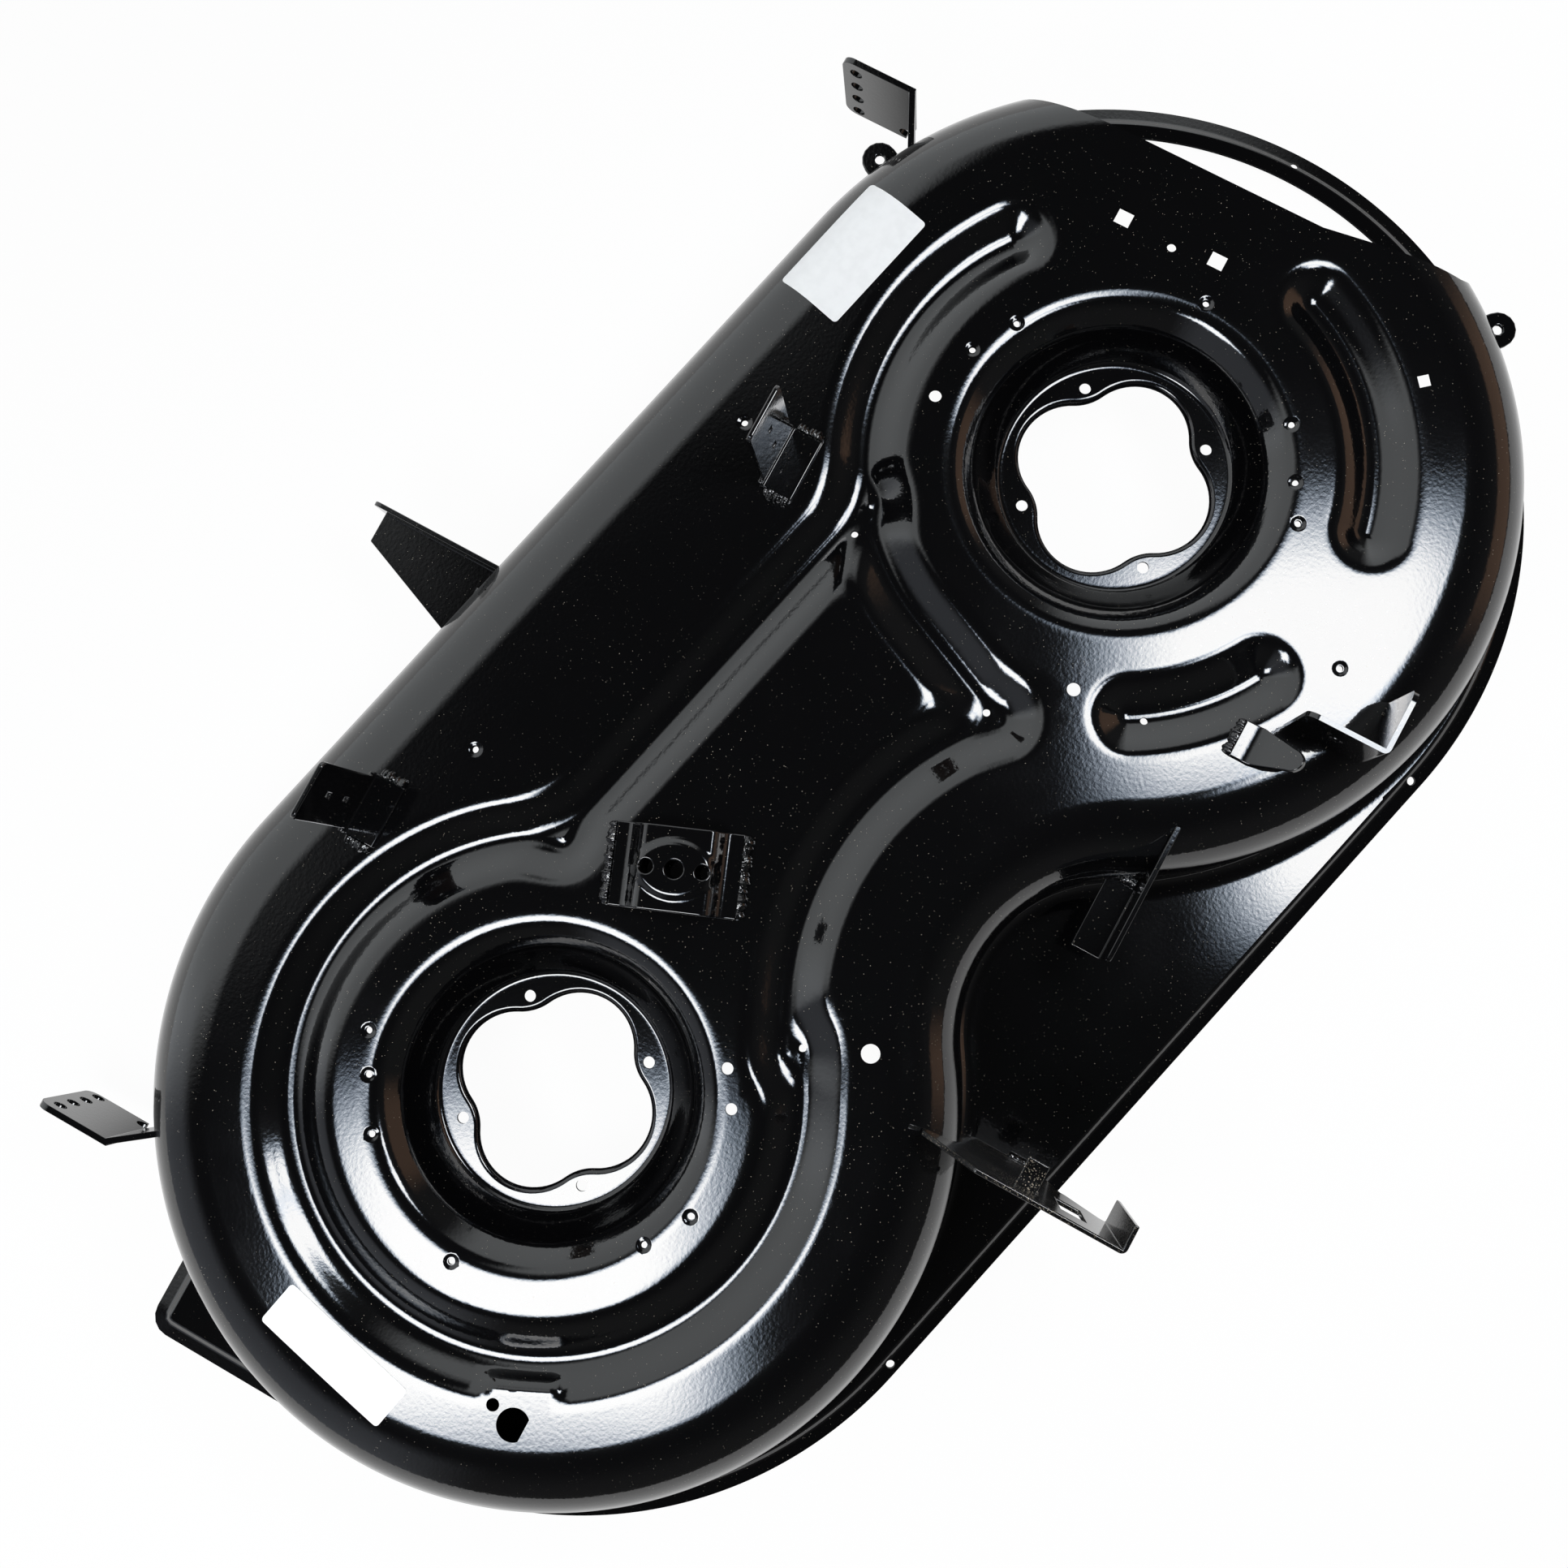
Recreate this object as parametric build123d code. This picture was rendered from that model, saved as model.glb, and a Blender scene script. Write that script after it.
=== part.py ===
"""Two-spindle side-discharge mower deck: one pressed steel shell with welded brackets.

Millimetres. The origin is the centre of the left spindle seat, +X points to the discharge side,
+Y points forwards and +Z up. The spindle line is skewed to the travel direction, so the pressing
is drawn along that line (u along it, v forwards of it) and turned into the deck frame.
"""

import math
import os

from build123d import *

# Pressing
sheet = 2.5
top_z = 40.0
shoulder_r = 40.0
shoulder_bands = 3
wall_r = 250.0
waist_r = 100.0
spindle_gap = 515.0
spindle_skew = 13.9

# Rim: a level panel round the wall, then a lip one step lower
panel_z = -75.0
rim_reach = 28.0
front_reach = 22.0
lip_width = 12.5
lip_drop = 5.0
foot_r = 8.0
ear_front = 175.0
ear_corner_r = 14.0
ear_panel_r = 6.0

# Spindle dishes, their apertures and bolt circles
dish_mouth_r = 106.0
seat_r = 72.0
aperture_long_r = 63.0
aperture_short_r = 51.0
aperture_waist_r = 30.0
bolt_circle_r = 60.0
bolt_hole_r = 3.7
bolt_count = 4
bolt_turn = 45.0

# Sunk grooves
groove_r = 153.0
groove_mouth = 44.0
groove_floor = 9.0
groove_depth = 12.0
end_facets = 5
link_mouth = 40.0
link_floor = 6.0
link_depth = 11.0
front_link_v = 98.0
left_ring_end = 322.2
right_ring_start = 66.6
right_ring_end = 170.0
right_run = 70.0
waist_link_r = 185.0
waist_link_crest = -27.0
waist_link_from = 60.5
waist_link_to = 139.2
oval_from = 223.7
oval_to = 253.9
kidney_from = 296.0
kidney_to = 351.6
pad_angle = 205.0
pad_inner_r = 166.0
pad_width = 46.0
pad_reach = 18.0

# Discharge opening, measured from the right spindle
chute_face = 185.0
chute_bend = -41.0
chute_flare = 201.0
chute_rear = -139.0
chute_corner_r = 14.0
chute_front = 190.0
chute_reach = 330.0
hoop_inset = 6.5

# Holes: x, y, radius; those under a bolt's size are drawn with flat sides
plain_holes = [
    (115.4, -159.4, 5.8),
    (363.3, -163.6, 4.2),
    (483.6, -5.5, 3.9),
    (67.1, -89.1, 3.7),
    (47.4, -102.6, 3.6),
    (632.0, -89.4, 2.9),
    (-169.4, -61.9, 3.9),
]
left_pilots = [(-16.7, 111.1), (-39.6, 98.2), (-69.1, 79.2), (-110.2, 0.3), (-46.4, -95.1), (-18.8, -111.5)]
right_pilots = [(567.3, -203.7), (536.6, -221.9), (519.6, -11.9), (546.8, -28.1), (610.4, -124.1)]
edge_pilots = [(514.9, -234.8), (448.3, -296.4), (160.9, 137.8), (414.8, 89.9)]
pilot_r = 2.1
drain_holes = [(327.9, -124.0), (387.2, -1.1), (98.0, -122.3), (367.9, -209.7)]
drain_r = 2.3
small_sides = 8
rim_holes = [(432.0, -386.5), (-61.0, -265.3), (769.0, -129.4)]
rim_hole_r = 2.8
square_holes = [(635.4, -55.0, 10.0, 0.0), (637.2, -117.8, 10.0, 0.0), (627.7, -261.4, 7.7, 40.0)]
keyed_hole = (-173.6, -78.0)
keyed_r = 10.0
keyed_flat = 7.0

# Welded pieces in general
plate = 3.0
strap = 4.0
bend_r = 4.0
seat_gap = 0.2
weld_leg = 4.0
bead_bulge = 0.66
lift = 2.0

# Gauge wheel brackets
gauge_angle = 55.0
gauge_reach = 30.0
gauge_length = 50.0
gauge_top = 11.0
gauge_corner_r = 8.0
gauge_hole_r = 4.3
gauge_hole_pitch = 17.3
gauge_hole_count = 4
gauge_hole_top = -0.5
gauge_hole_edge = 10.0
gauge_hole_end = 6.6
gauge_notch_r = 5.0
gauge_arm_bottom = -46.0
right_arm_turn = 206.8
left_arm_turn = -53.0
gauge_arm_length = 60.0
slot_length = 33.0
slot_bottom = 2.0
slot_top = 8.0
slot_depth = 25.0

# Front hanger
hanger_x = 265.0
hanger_reach = 89.0
hanger_top = 12.0
hanger_web_z = -20.0
hanger_web_width = 56.0
hanger_nose = 20.0
hanger_corner_r = 6.0
hanger_root = 60.0
hanger_pin_r = 3.0
hanger_pin_back = 30.0

# Tall front brackets
tall_right_at = (405.0, 41.0)
tall_left_at = (99.5, 163.0)
tall_base_width = 41.0
tall_base_length = 22.5
tall_width = 36.0
tall_top = 135.0
tall_neck = 8.0
tall_corner_r = 4.0
tall_slot_width = 3.0
tall_slot_length = 7.0
tall_slot_low = 71.0
tall_slot_high = 102.0

# Idler bracket
idler_at = (155.5, -6.0)
idler_turn = -68.3
idler_length = 78.0
idler_width = 51.0
idler_foot = 11.0
idler_slope = 6.0
idler_rise = 10.0
boss_length = 52.0
boss_width = 36.0
boss_rise = 2.0
boss_taper = 30.0
idler_hole_r = 5.6
idler_side_hole_r = 4.4
idler_hole_gap = 17.0

# Rear right hanger and tongue
rear_right_x = 402.5
rear_right_from = -284.0
rear_right_to = -334.0
rear_right_top = 100.0
rear_right_flange = 41.0
rear_right_corner_r = 8.0
rear_right_hole = (-308.5, 71.7)
rear_right_hole_r = 4.0
tongue_x = 383.0
tongue_foot_front = -262.0
tongue_bend = -274.0
tongue_end = -300.0
tongue_rise = 20.0
tongue_foot_width = 24.0
tongue_width = 14.0

# Waist bracket, measured from the waist centre
waist_plate_x = 37.0
waist_plate_y = 34.0
waist_plate_length = 90.0
waist_shelf_depth = 22.0
waist_shelf_z = -8.0
waist_plate_top = 39.0
waist_corner_r = 5.0
waist_weld_r = 5.0

# Rear left hanger
rear_left_x = 89.5
rear_left_front = -207.0
rear_left_nose_z = 52.0
rear_left_crest = -240.0
rear_left_end = -334.0
rear_left_top = 94.0
rear_left_overhang = -303.0
rear_left_overhang_z = -25.0
rear_left_foot_end = -291.0
rear_left_flange = 18.0
rear_left_flange_bottom = 0.0
rear_left_slot = (-304.0, 41.0)
rear_left_slot_size = (16.0, 46.0)
rear_left_lug_y = -275.0
rear_left_lug_z = 42.0
rear_left_lug_width = 13.5
rear_left_lug_length = 16.0
rear_left_weld_length = 22.0

# Eyelets
eyelet_front_angle = 63.0
eyelet_rear_angle = -40.5
eyelet_out = 8.0
eyelet_z = -8.0
eyelet_r = 11.5
eyelet_hole_r = 3.3

skew_cos = math.cos(math.radians(spindle_skew))
skew_sin = math.sin(math.radians(spindle_skew))
to_deck = Rot(0, 0, -spindle_skew)
right_x = spindle_gap * skew_cos
right_y = -spindle_gap * skew_sin
rim_r = wall_r + rim_reach
lip_z = panel_z - lip_drop
gauge_bottom = gauge_hole_top - gauge_hole_pitch * (gauge_hole_count - 1) - gauge_hole_end
floor_z = lip_z - sheet
waist_v = -math.sqrt((wall_r + waist_r) ** 2 - (spindle_gap / 2) ** 2)
waist_turn = math.degrees(math.atan2(-waist_v, spindle_gap / 2))
waist_x = spindle_gap / 2 * skew_cos + waist_v * skew_sin
waist_y = -spindle_gap / 2 * skew_sin + waist_v * skew_cos


def closed(points):
    """Return the flat face inside a closed line of corners."""
    return make_face(Polyline(*points, close=True))


def box(x0, x1, y0, y1, z0, z1):
    """Return the block between two opposite corners."""
    return Pos((x0 + x1) / 2, (y0 + y1) / 2, (z0 + z1) / 2) * Box(x1 - x0, y1 - y0, z1 - z0)


def drill(x, y, radius):
    """Return an upright round drill that runs through the whole shell."""
    return Pos(x, y, (top_z + floor_z) / 2) * Cylinder(radius, top_z - floor_z + lift * 2)


def punch(x, y, radius):
    """Return an upright flat-sided punch that runs through the whole shell."""
    face = RegularPolygon(radius, small_sides)
    return Pos(x, y, floor_z - lift) * extrude(face, top_z - floor_z + lift * 2)


def skin_line(points, skin):
    """Offset an open section line by the sheet, to the right of its own direction reversed."""
    moved = []
    for (r0, z0), (r1, z1) in zip(points, points[1:]):
        span = math.hypot(r1 - r0, z1 - z0)
        out_r = -(z1 - z0) / span * skin
        out_z = (r1 - r0) / span * skin
        moved.append(((r0 + out_r, z0 + out_z), (r1 + out_r, z1 + out_z)))
    line = [moved[0][0]]
    for (a, b), (c, d) in zip(moved, moved[1:]):
        run_r, run_z = b[0] - a[0], b[1] - a[1]
        next_r, next_z = d[0] - c[0], d[1] - c[1]
        cross = run_r * next_z - run_z * next_r
        share = ((c[0] - a[0]) * next_z - (c[1] - a[1]) * next_r) / cross
        line.append((a[0] + run_r * share, a[1] + run_z * share))
    line.append(moved[-1][1])
    return line


def pressed(points, skin):
    """Return the half section of a pressed-in form: its hollow for no skin, else its outer skin."""
    line = skin_line(points, skin)
    level = top_z - skin / 2 if skin else top_z + lift
    (mouth_r, mouth_z), (low_r, low_z) = line[0], line[1]
    share = (level - low_z) / (mouth_z - low_z)
    mouth = (low_r + (mouth_r - low_r) * share, level)
    return [(0, level), mouth] + line[1:]


def groove_half(mouth, floor, depth, skin):
    """Return the half section of a groove."""
    points = [(mouth / 2, top_z), (floor / 2, top_z - depth), (0, top_z - depth)]
    return pressed(points, skin)


def groove_full(mouth, floor, depth, skin, offset):
    """Return both halves of a groove section as one corner line, set off sideways."""
    half = groove_half(mouth, floor, depth, skin)
    right = [(offset + r, z) for r, z in half[1:-1]]
    left = [(offset - r, z) for r, z in reversed(half[1:-1])]
    return right + left


def arc_groove(size, skin, centre, radius, start, sweep):
    """Return a groove along an arc about a centre."""
    section = Plane.XZ * closed(groove_full(*size, skin, radius))
    return Pos(*centre) * Rot(0, 0, start) * revolve(section, Axis.Z, sweep)


def straight_groove(size, skin, start, heading, length):
    """Return a groove along a straight line."""
    section = Plane.YZ * closed(groove_full(*size, skin, 0))
    return Pos(*start) * Rot(0, 0, heading) * extrude(section, length)


def groove_end(size, skin, at, heading):
    """Return the end of a groove that leaves along a heading, rounded off in flat facets."""
    half = groove_half(*size, skin)
    levels = [half[1], half[-2]]
    faces = []
    for reach, z in levels:
        turns = [math.radians(heading - 90 + 180 / end_facets * i) for i in range(end_facets + 1)]
        corners = [(at[0] + reach * math.cos(t), at[1] + reach * math.sin(t)) for t in turns]
        faces.append(Pos(0, 0, z) * closed(corners))
    return loft(faces, ruled=True)


def on_arc(centre, radius, angle):
    """Return the point on an arc at an angle."""
    turn = math.radians(angle)
    return (centre[0] + radius * math.cos(turn), centre[1] + radius * math.sin(turn))


def closed_arc_groove(size, skin, centre, radius, start, end):
    """Return an arc groove with both ends round."""
    body = arc_groove(size, skin, centre, radius, start, end - start)
    first = groove_end(size, skin, on_arc(centre, radius, start), start - 90)
    last = groove_end(size, skin, on_arc(centre, radius, end), end + 90)
    return body + first + last


def grooves(skin):
    """Return all sunk grooves in the pressing frame."""
    ring = (groove_mouth, groove_floor, groove_depth)
    link = (link_mouth, link_floor, link_depth)
    left = (0, 0)
    right = (spindle_gap, 0)
    link_u = math.sqrt(groove_r ** 2 - front_link_v ** 2)
    link_angle = math.degrees(math.atan2(front_link_v, link_u))
    left_ring = closed_arc_groove(ring, skin, left, groove_r, link_angle, left_ring_end)
    right_ring = arc_groove(ring, skin, right, groove_r, right_ring_start, right_ring_end - right_ring_start)
    run_from = on_arc(right, groove_r, right_ring_end)
    run_to = on_arc(run_from, right_run, right_ring_end + 90)
    right_ring += groove_end(ring, skin, on_arc(right, groove_r, right_ring_start), right_ring_start - 90)
    right_ring += straight_groove(ring, skin, run_from, right_ring_end + 90, right_run)
    right_ring += groove_end(ring, skin, run_to, right_ring_end + 90)
    front = straight_groove(link, skin, (link_u, front_link_v), 0, spindle_gap - 2 * link_u)
    crest = (spindle_gap / 2, waist_link_crest - waist_link_r)
    sweep = waist_link_to - waist_link_from
    waist = arc_groove(link, skin, crest, waist_link_r, waist_link_from, sweep)
    waist += groove_end(link, skin, on_arc(crest, waist_link_r, waist_link_from), waist_link_from - 90)
    oval = closed_arc_groove(ring, skin, right, groove_r, oval_from, oval_to)
    kidney = closed_arc_groove(ring, skin, right, groove_r, kidney_from, kidney_to)
    pad_turn = Rot(0, 0, pad_angle + spindle_skew)
    pad_from = pad_inner_r + skin
    pad_half = pad_width / 2 - skin
    pad = box(pad_from, pad_inner_r + pad_reach, -pad_half, pad_half, floor_z, top_z + lift * 2)
    return [left_ring - pad_turn * pad, right_ring, front, waist, oval, kidney]


def dish(skin):
    """Return one spindle dish about its own axis."""
    points = [(dish_mouth_r, top_z), (seat_r, 0), (0, 0)]
    return revolve(Plane.XZ * closed(pressed(points, skin)), Axis.Z, 360)


def aperture(grow):
    """Return the four-lobed spindle aperture, grown outwards, with its lobes on the deck axes."""
    far = aperture_short_r + aperture_waist_r
    reach = aperture_long_r + aperture_waist_r
    diagonal = math.radians(45)
    near = (reach ** 2 - far ** 2) / (2 * reach - 2 * far * math.cos(diagonal))
    lobe_r = aperture_long_r - near + grow
    side = far * math.sin(diagonal)
    spread = math.degrees(math.atan2(side, side - near))
    edges = []
    for axis in (0, 90, 180, 270):
        lobe = on_arc((0, 0), near, axis)
        neck = on_arc((0, 0), far, axis + 45)
        edges.append(CenterArc(lobe, lobe_r, axis - spread, 2 * spread))
        edges.append(CenterArc(neck, aperture_waist_r - grow, axis + spread + 180, 90 - 2 * spread))
    return make_face(edges)


def wall_outline(grow):
    """Return the plan of the side wall in the pressing frame, grown outwards."""
    radius = wall_r + grow
    sweep = 270 - waist_turn
    front = Line((spindle_gap, radius), (0, radius))
    left = CenterArc((0, 0), radius, 90, sweep)
    waist = CenterArc((spindle_gap / 2, waist_v), waist_r - grow, 180 - waist_turn, 2 * waist_turn - 180)
    right = CenterArc((spindle_gap, 0), radius, 180 + waist_turn, sweep)
    return make_face([front, left, waist, right])


def plug(grow, bottom):
    """Return the shell's solid form in the pressing frame, grown on all sides but the bottom."""
    radius = shoulder_r + grow
    low = top_z - shoulder_r
    body = Pos(0, 0, bottom) * extrude(wall_outline(grow), low - bottom)
    for band in range(shoulder_bands):
        here = math.radians(90 / shoulder_bands * band)
        there = math.radians(90 / shoulder_bands * (band + 1))
        rise = radius * (math.sin(there) - math.sin(here))
        inset = radius * (1 - math.cos(here))
        lean = math.degrees(math.atan2(radius * (math.cos(here) - math.cos(there)), rise))
        ring = extrude(wall_outline(grow - inset), rise, taper=lean)
        body += Pos(0, 0, low + radius * math.sin(here)) * ring
    return body


def rim_outline(grow, corner_r):
    """Return the plan of the rim in the pressing frame, with the square ear at the front left."""
    radius = rim_r + grow
    front = wall_r + front_reach + grow
    ear = ear_front + grow
    chord = math.degrees(math.acos(front / radius))
    lean = math.degrees(math.asin(ear / radius))
    start = on_arc((0, 0), radius, 90 + chord)
    turn = Rot(0, 0, spindle_skew)
    side = turn * Line((-radius, 0), (-radius, ear - corner_r))
    corner = turn * CenterArc((-radius + corner_r, ear - corner_r), corner_r, 180, -90)
    top = turn * Line((-radius + corner_r, ear), (-radius * math.cos(math.radians(lean)), ear))
    return make_face([
        Line(start, (spindle_gap - start[0], front)),
        CenterArc((spindle_gap, 0), radius, 90 - chord, -(180 - chord)),
        Line((spindle_gap, -radius), (0, -radius)),
        CenterArc((0, 0), radius, -90, -(90 - spindle_skew)),
        side,
        corner,
        top,
        CenterArc((0, 0), radius, 180 - lean + spindle_skew, -(90 - lean + spindle_skew - chord)),
    ])


def on_wall(edge, grow):
    """Tell whether an edge of the pressing lies on the wall outline."""
    middle = edge @ 0.5
    reaches = [
        math.hypot(middle.X, middle.Y) - wall_r,
        math.hypot(middle.X - spindle_gap, middle.Y) - wall_r,
        middle.Y - wall_r,
        waist_r - math.hypot(middle.X - spindle_gap / 2, middle.Y - waist_v),
    ]
    return min(abs(reach - grow) for reach in reaches) < seat_gap


def rimmed_shell():
    """Return the wall, shoulder, top and stepped rim before anything is pressed in or cut."""
    panel = rim_outline(sheet - lip_width, ear_panel_r + sheet)
    inner = rim_outline(-lip_width, ear_panel_r)
    outer = rim_outline(0, ear_corner_r)
    body = plug(0, panel_z - sheet) + Pos(0, 0, panel_z - sheet) * extrude(panel, sheet)
    foot = [e for e in body.edges().filter_by_position(Axis.Z, panel_z - lift / 4, panel_z + lift / 4)
            if on_wall(e, 0)]
    body = chamfer(foot, foot_r)
    body -= plug(-sheet, panel_z - sheet - lift)
    under = panel_z - sheet
    inside = [e for e in body.edges().filter_by_position(Axis.Z, under - lift / 4, under + lift / 4)
              if on_wall(e, -sheet)]
    body = chamfer(inside, foot_r)
    riser = Pos(0, 0, floor_z) * extrude(panel - inner, panel_z - floor_z - sheet)
    lip = Pos(0, 0, floor_z) * extrude(outer - inner, sheet)
    return body + (riser + lip)


def chute_outline():
    """Return the plan of the discharge opening in the deck frame."""
    face = closed([
        (chute_face, chute_front),
        (chute_face, chute_bend),
        (chute_flare, chute_rear),
        (chute_reach, chute_rear),
        (chute_reach, chute_front),
    ])
    corner = face.vertices().sort_by_distance((chute_flare, chute_rear))[0]
    return Pos(right_x, right_y) * fillet(corner, chute_corner_r)


def gauge_point(side, reach):
    """Return a point on the gauge direction of one lobe, past the wall; side is 1 for the right."""
    centre = (right_x, right_y) if side > 0 else (0, 0)
    angle = gauge_angle if side > 0 else 180 - gauge_angle
    return on_arc(centre, wall_r + reach, angle)


def deck_shell():
    """Return the whole pressing in the deck frame."""
    body = rimmed_shell()
    spots = [Pos(0, 0, 0), Pos(spindle_gap, 0, 0)]
    body += [spot * dish(sheet) for spot in spots] + grooves(sheet)
    body -= [spot * dish(0) for spot in spots] + grooves(0)
    body = to_deck * body
    seats = [Pos(0, 0, 0), Pos(right_x, right_y, 0)]
    hole = Pos(0, 0, -sheet - lift) * extrude(aperture(0), sheet + 2 * lift)
    body -= [seat * hole for seat in seats]
    cuts = []
    for seat_x, seat_y in [(0, 0), (right_x, right_y)]:
        for i in range(bolt_count):
            at = on_arc((seat_x, seat_y), bolt_circle_r, bolt_turn + 360 / bolt_count * i)
            cuts.append(drill(*at, bolt_hole_r))
    for x, y, radius in plain_holes:
        cuts.append(punch(x, y, radius))
    for x, y in left_pilots + right_pilots + edge_pilots:
        cuts.append(punch(x, y, pilot_r))
    for x, y in drain_holes:
        cuts.append(punch(x, y, drain_r))
    for x, y in rim_holes:
        cuts.append(punch(x, y, rim_hole_r))
    for x, y, side, turn in square_holes:
        cuts.append(Pos(x, y, top_z) * Rot(0, 0, turn) * Box(side, side, 2 * (sheet + lift)))
    key = Circle(keyed_r) - Pos(0, -keyed_r - keyed_flat) * Rectangle(2 * keyed_r, 2 * keyed_r)
    cuts.append(Pos(*keyed_hole, top_z - sheet - lift) * extrude(key, sheet + 2 * lift))
    for side in (1, -1):
        at = gauge_point(side, 0)
        turn = gauge_angle if side > 0 else 180 - gauge_angle
        slot = box(-slot_depth, slot_depth, -slot_length / 2, slot_length / 2, slot_bottom, slot_top)
        cuts.append(Pos(*at) * Rot(0, 0, turn) * slot)
    opening = chute_outline()
    cuts.append(Pos(0, 0, panel_z) * extrude(opening, top_z - panel_z + lift))
    inside = opening & (Pos(right_x, right_y) * Circle(wall_r + hoop_inset))
    cuts.append(Pos(0, 0, floor_z - lift) * extrude(inside, panel_z - floor_z + 2 * lift))
    return body - cuts


def upright_x(points, x, thickness):
    """Return an upright plate across X, drawn in y and z."""
    return Pos(x, 0, 0) * extrude(Plane.YZ * closed(points), thickness)


def round_corners(body, axis, points, radius):
    """Round the edges along an axis that pass nearest to the given points."""
    edges = [body.edges().filter_by(axis).sort_by_distance(point)[0] for point in points]
    return fillet(edges, radius)


def seated(body):
    """Trim a bracket to lie on the shell's outer form with the seat gap."""
    return body - to_deck * plug(seat_gap, floor_z - lift)


def on_panel(body):
    """Trim a piece that stands on the rim panel, to clear the wall and its foot."""
    foot = Pos(0, 0, panel_z) * extrude(wall_outline(foot_r + seat_gap), foot_r + seat_gap)
    return seated(body - to_deck * foot)


def gauge_bracket(side):
    """Return a gauge wheel bracket; side is 1 for the right one and -1 for the left one."""
    bend_x, bend_y = gauge_point(side, gauge_reach)
    inner_x = bend_x - strap / 2
    front = bend_y + gauge_length
    back = bend_y - strap / 2
    body = box(inner_x, inner_x + strap, back, front, gauge_bottom, gauge_top)
    body = round_corners(body, Axis.X, [(bend_x, front, gauge_top), (bend_x, front, gauge_bottom)],
                         gauge_corner_r)
    under_arm = box(inner_x - lift, inner_x + strap + lift, back - lift, bend_y + strap,
                    gauge_bottom - lift, gauge_arm_bottom)
    body -= under_arm
    notch = Pos(bend_x, bend_y + strap, gauge_arm_bottom - gauge_notch_r)
    body -= notch * Rot(0, 90, 0) * Cylinder(gauge_notch_r, strap + 2 * lift)
    for i in range(gauge_hole_count):
        at = Pos(bend_x, front - gauge_hole_edge, gauge_hole_top - gauge_hole_pitch * i)
        body -= at * Rot(0, 90, 0) * Cylinder(gauge_hole_r, strap + 2 * lift)
    turn = right_arm_turn if side > 0 else left_arm_turn
    arm = box(0, gauge_arm_length, -strap / 2, strap / 2, gauge_arm_bottom, gauge_top)
    body += Pos(bend_x, bend_y) * Rot(0, 0, turn) * arm
    body += Pos(bend_x, bend_y, (gauge_arm_bottom + gauge_top) / 2) * Cylinder(
        strap / 2, gauge_top - gauge_arm_bottom)
    return seated(body)


def front_wall_y(x):
    """Return where the front wall lies at an x in the deck frame."""
    return (wall_r - x * skew_sin) / skew_cos


def front_hanger():
    """Return the hanger on the front wall: an upright plate with a level gusset at its foot."""
    wall = front_wall_y(hanger_x)
    end = wall + hanger_reach
    back = wall - hanger_root
    body = box(hanger_x, hanger_x + plate, back, end, hanger_web_z, hanger_top)
    body = round_corners(body, Axis.X, [(hanger_x, end, hanger_top)], hanger_corner_r)
    web = closed([
        (hanger_x, back),
        (hanger_x, end),
        (hanger_x - hanger_nose, end),
        (hanger_x - hanger_web_width, wall),
        (hanger_x - hanger_web_width, back),
    ])
    body += Pos(0, 0, hanger_web_z) * extrude(web, plate)
    pin = Pos(hanger_x, end - hanger_pin_back, (hanger_top + hanger_web_z + plate) / 2)
    body -= pin * Rot(0, 90, 0) * Cylinder(hanger_pin_r, plate * 4)
    return seated(body)


def tall_bracket(at):
    """Return a tall L bracket on the top; at is the middle of its rear foot edge."""
    x, y = at
    front = y + tall_base_length
    foot = box(x - tall_base_width / 2, x + tall_base_width / 2, y, front, top_z, top_z + plate)
    stem = box(x - tall_base_width / 2, x + tall_base_width / 2, front - plate, front, top_z,
               top_z + tall_neck)
    blade = box(x - tall_width / 2, x + tall_width / 2, front - plate, front, top_z, tall_top)
    ends = [(x - tall_width / 2, front, tall_top), (x + tall_width / 2, front, tall_top)]
    blade = round_corners(blade, Axis.Y, ends, tall_corner_r)
    body = foot + stem + blade
    bend = body.edges().filter_by(Axis.X).sort_by_distance((x, front, top_z))[0]
    body = fillet(bend, bend_r)
    for z in (tall_slot_low, tall_slot_high):
        body -= Pos(x, front, z) * Box(tall_slot_width, plate * 4, tall_slot_length)
    return body


def tall_welds(at):
    """Return the weld beads along both ends of a tall bracket's foot."""
    x, y = at
    reach = tall_base_width / 2
    length = tall_base_length - bend_r
    bead = Rot(90, 0, 0) * extrude(quarter(weld_leg), length)
    right = Pos(x + reach, y + length, top_z) * bead
    left = Pos(x - reach, y, top_z) * Rot(0, 0, 180) * bead
    return right + left


def quarter(leg):
    """Return a bead's section: two legs at a right angle and a bulged face in two flats."""
    return closed([(0, 0), (leg, 0), (leg * bead_bulge, leg * bead_bulge), (0, leg)])


def idler_bracket():
    """Return the hat bracket between the spindles, with its raised boss and three holes."""
    half = idler_length / 2
    knee = half - idler_foot
    flat = knee - idler_slope
    high = top_z + idler_rise + plate
    low = top_z + plate
    upper = [(half, low), (knee, low), (flat, high), (-flat, high), (-knee, low), (-half, low)]
    lower = skin_line(upper, plate)
    section = Plane.XZ * closed(upper + list(reversed(lower)))
    body = Pos(0, idler_width / 2, 0) * extrude(section, idler_width)
    outline = closed([(boss_length / 2, 0), (0, boss_width / 2), (-boss_length / 2, 0), (0, -boss_width / 2)])
    boss = extrude(outline, boss_rise, taper=boss_taper)
    body += Pos(0, 0, high) * boss
    body -= Pos(0, 0, high - plate) * boss
    body -= Pos(0, 0, high) * Cylinder(idler_hole_r, plate * 4)
    side_hole = extrude(RegularPolygon(idler_side_hole_r, small_sides), plate * 4, both=True)
    for shift in (-idler_hole_gap, idler_hole_gap):
        body -= Pos(shift, 0, high) * side_hole
    return Pos(*idler_at) * Rot(0, 0, idler_turn) * body


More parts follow.
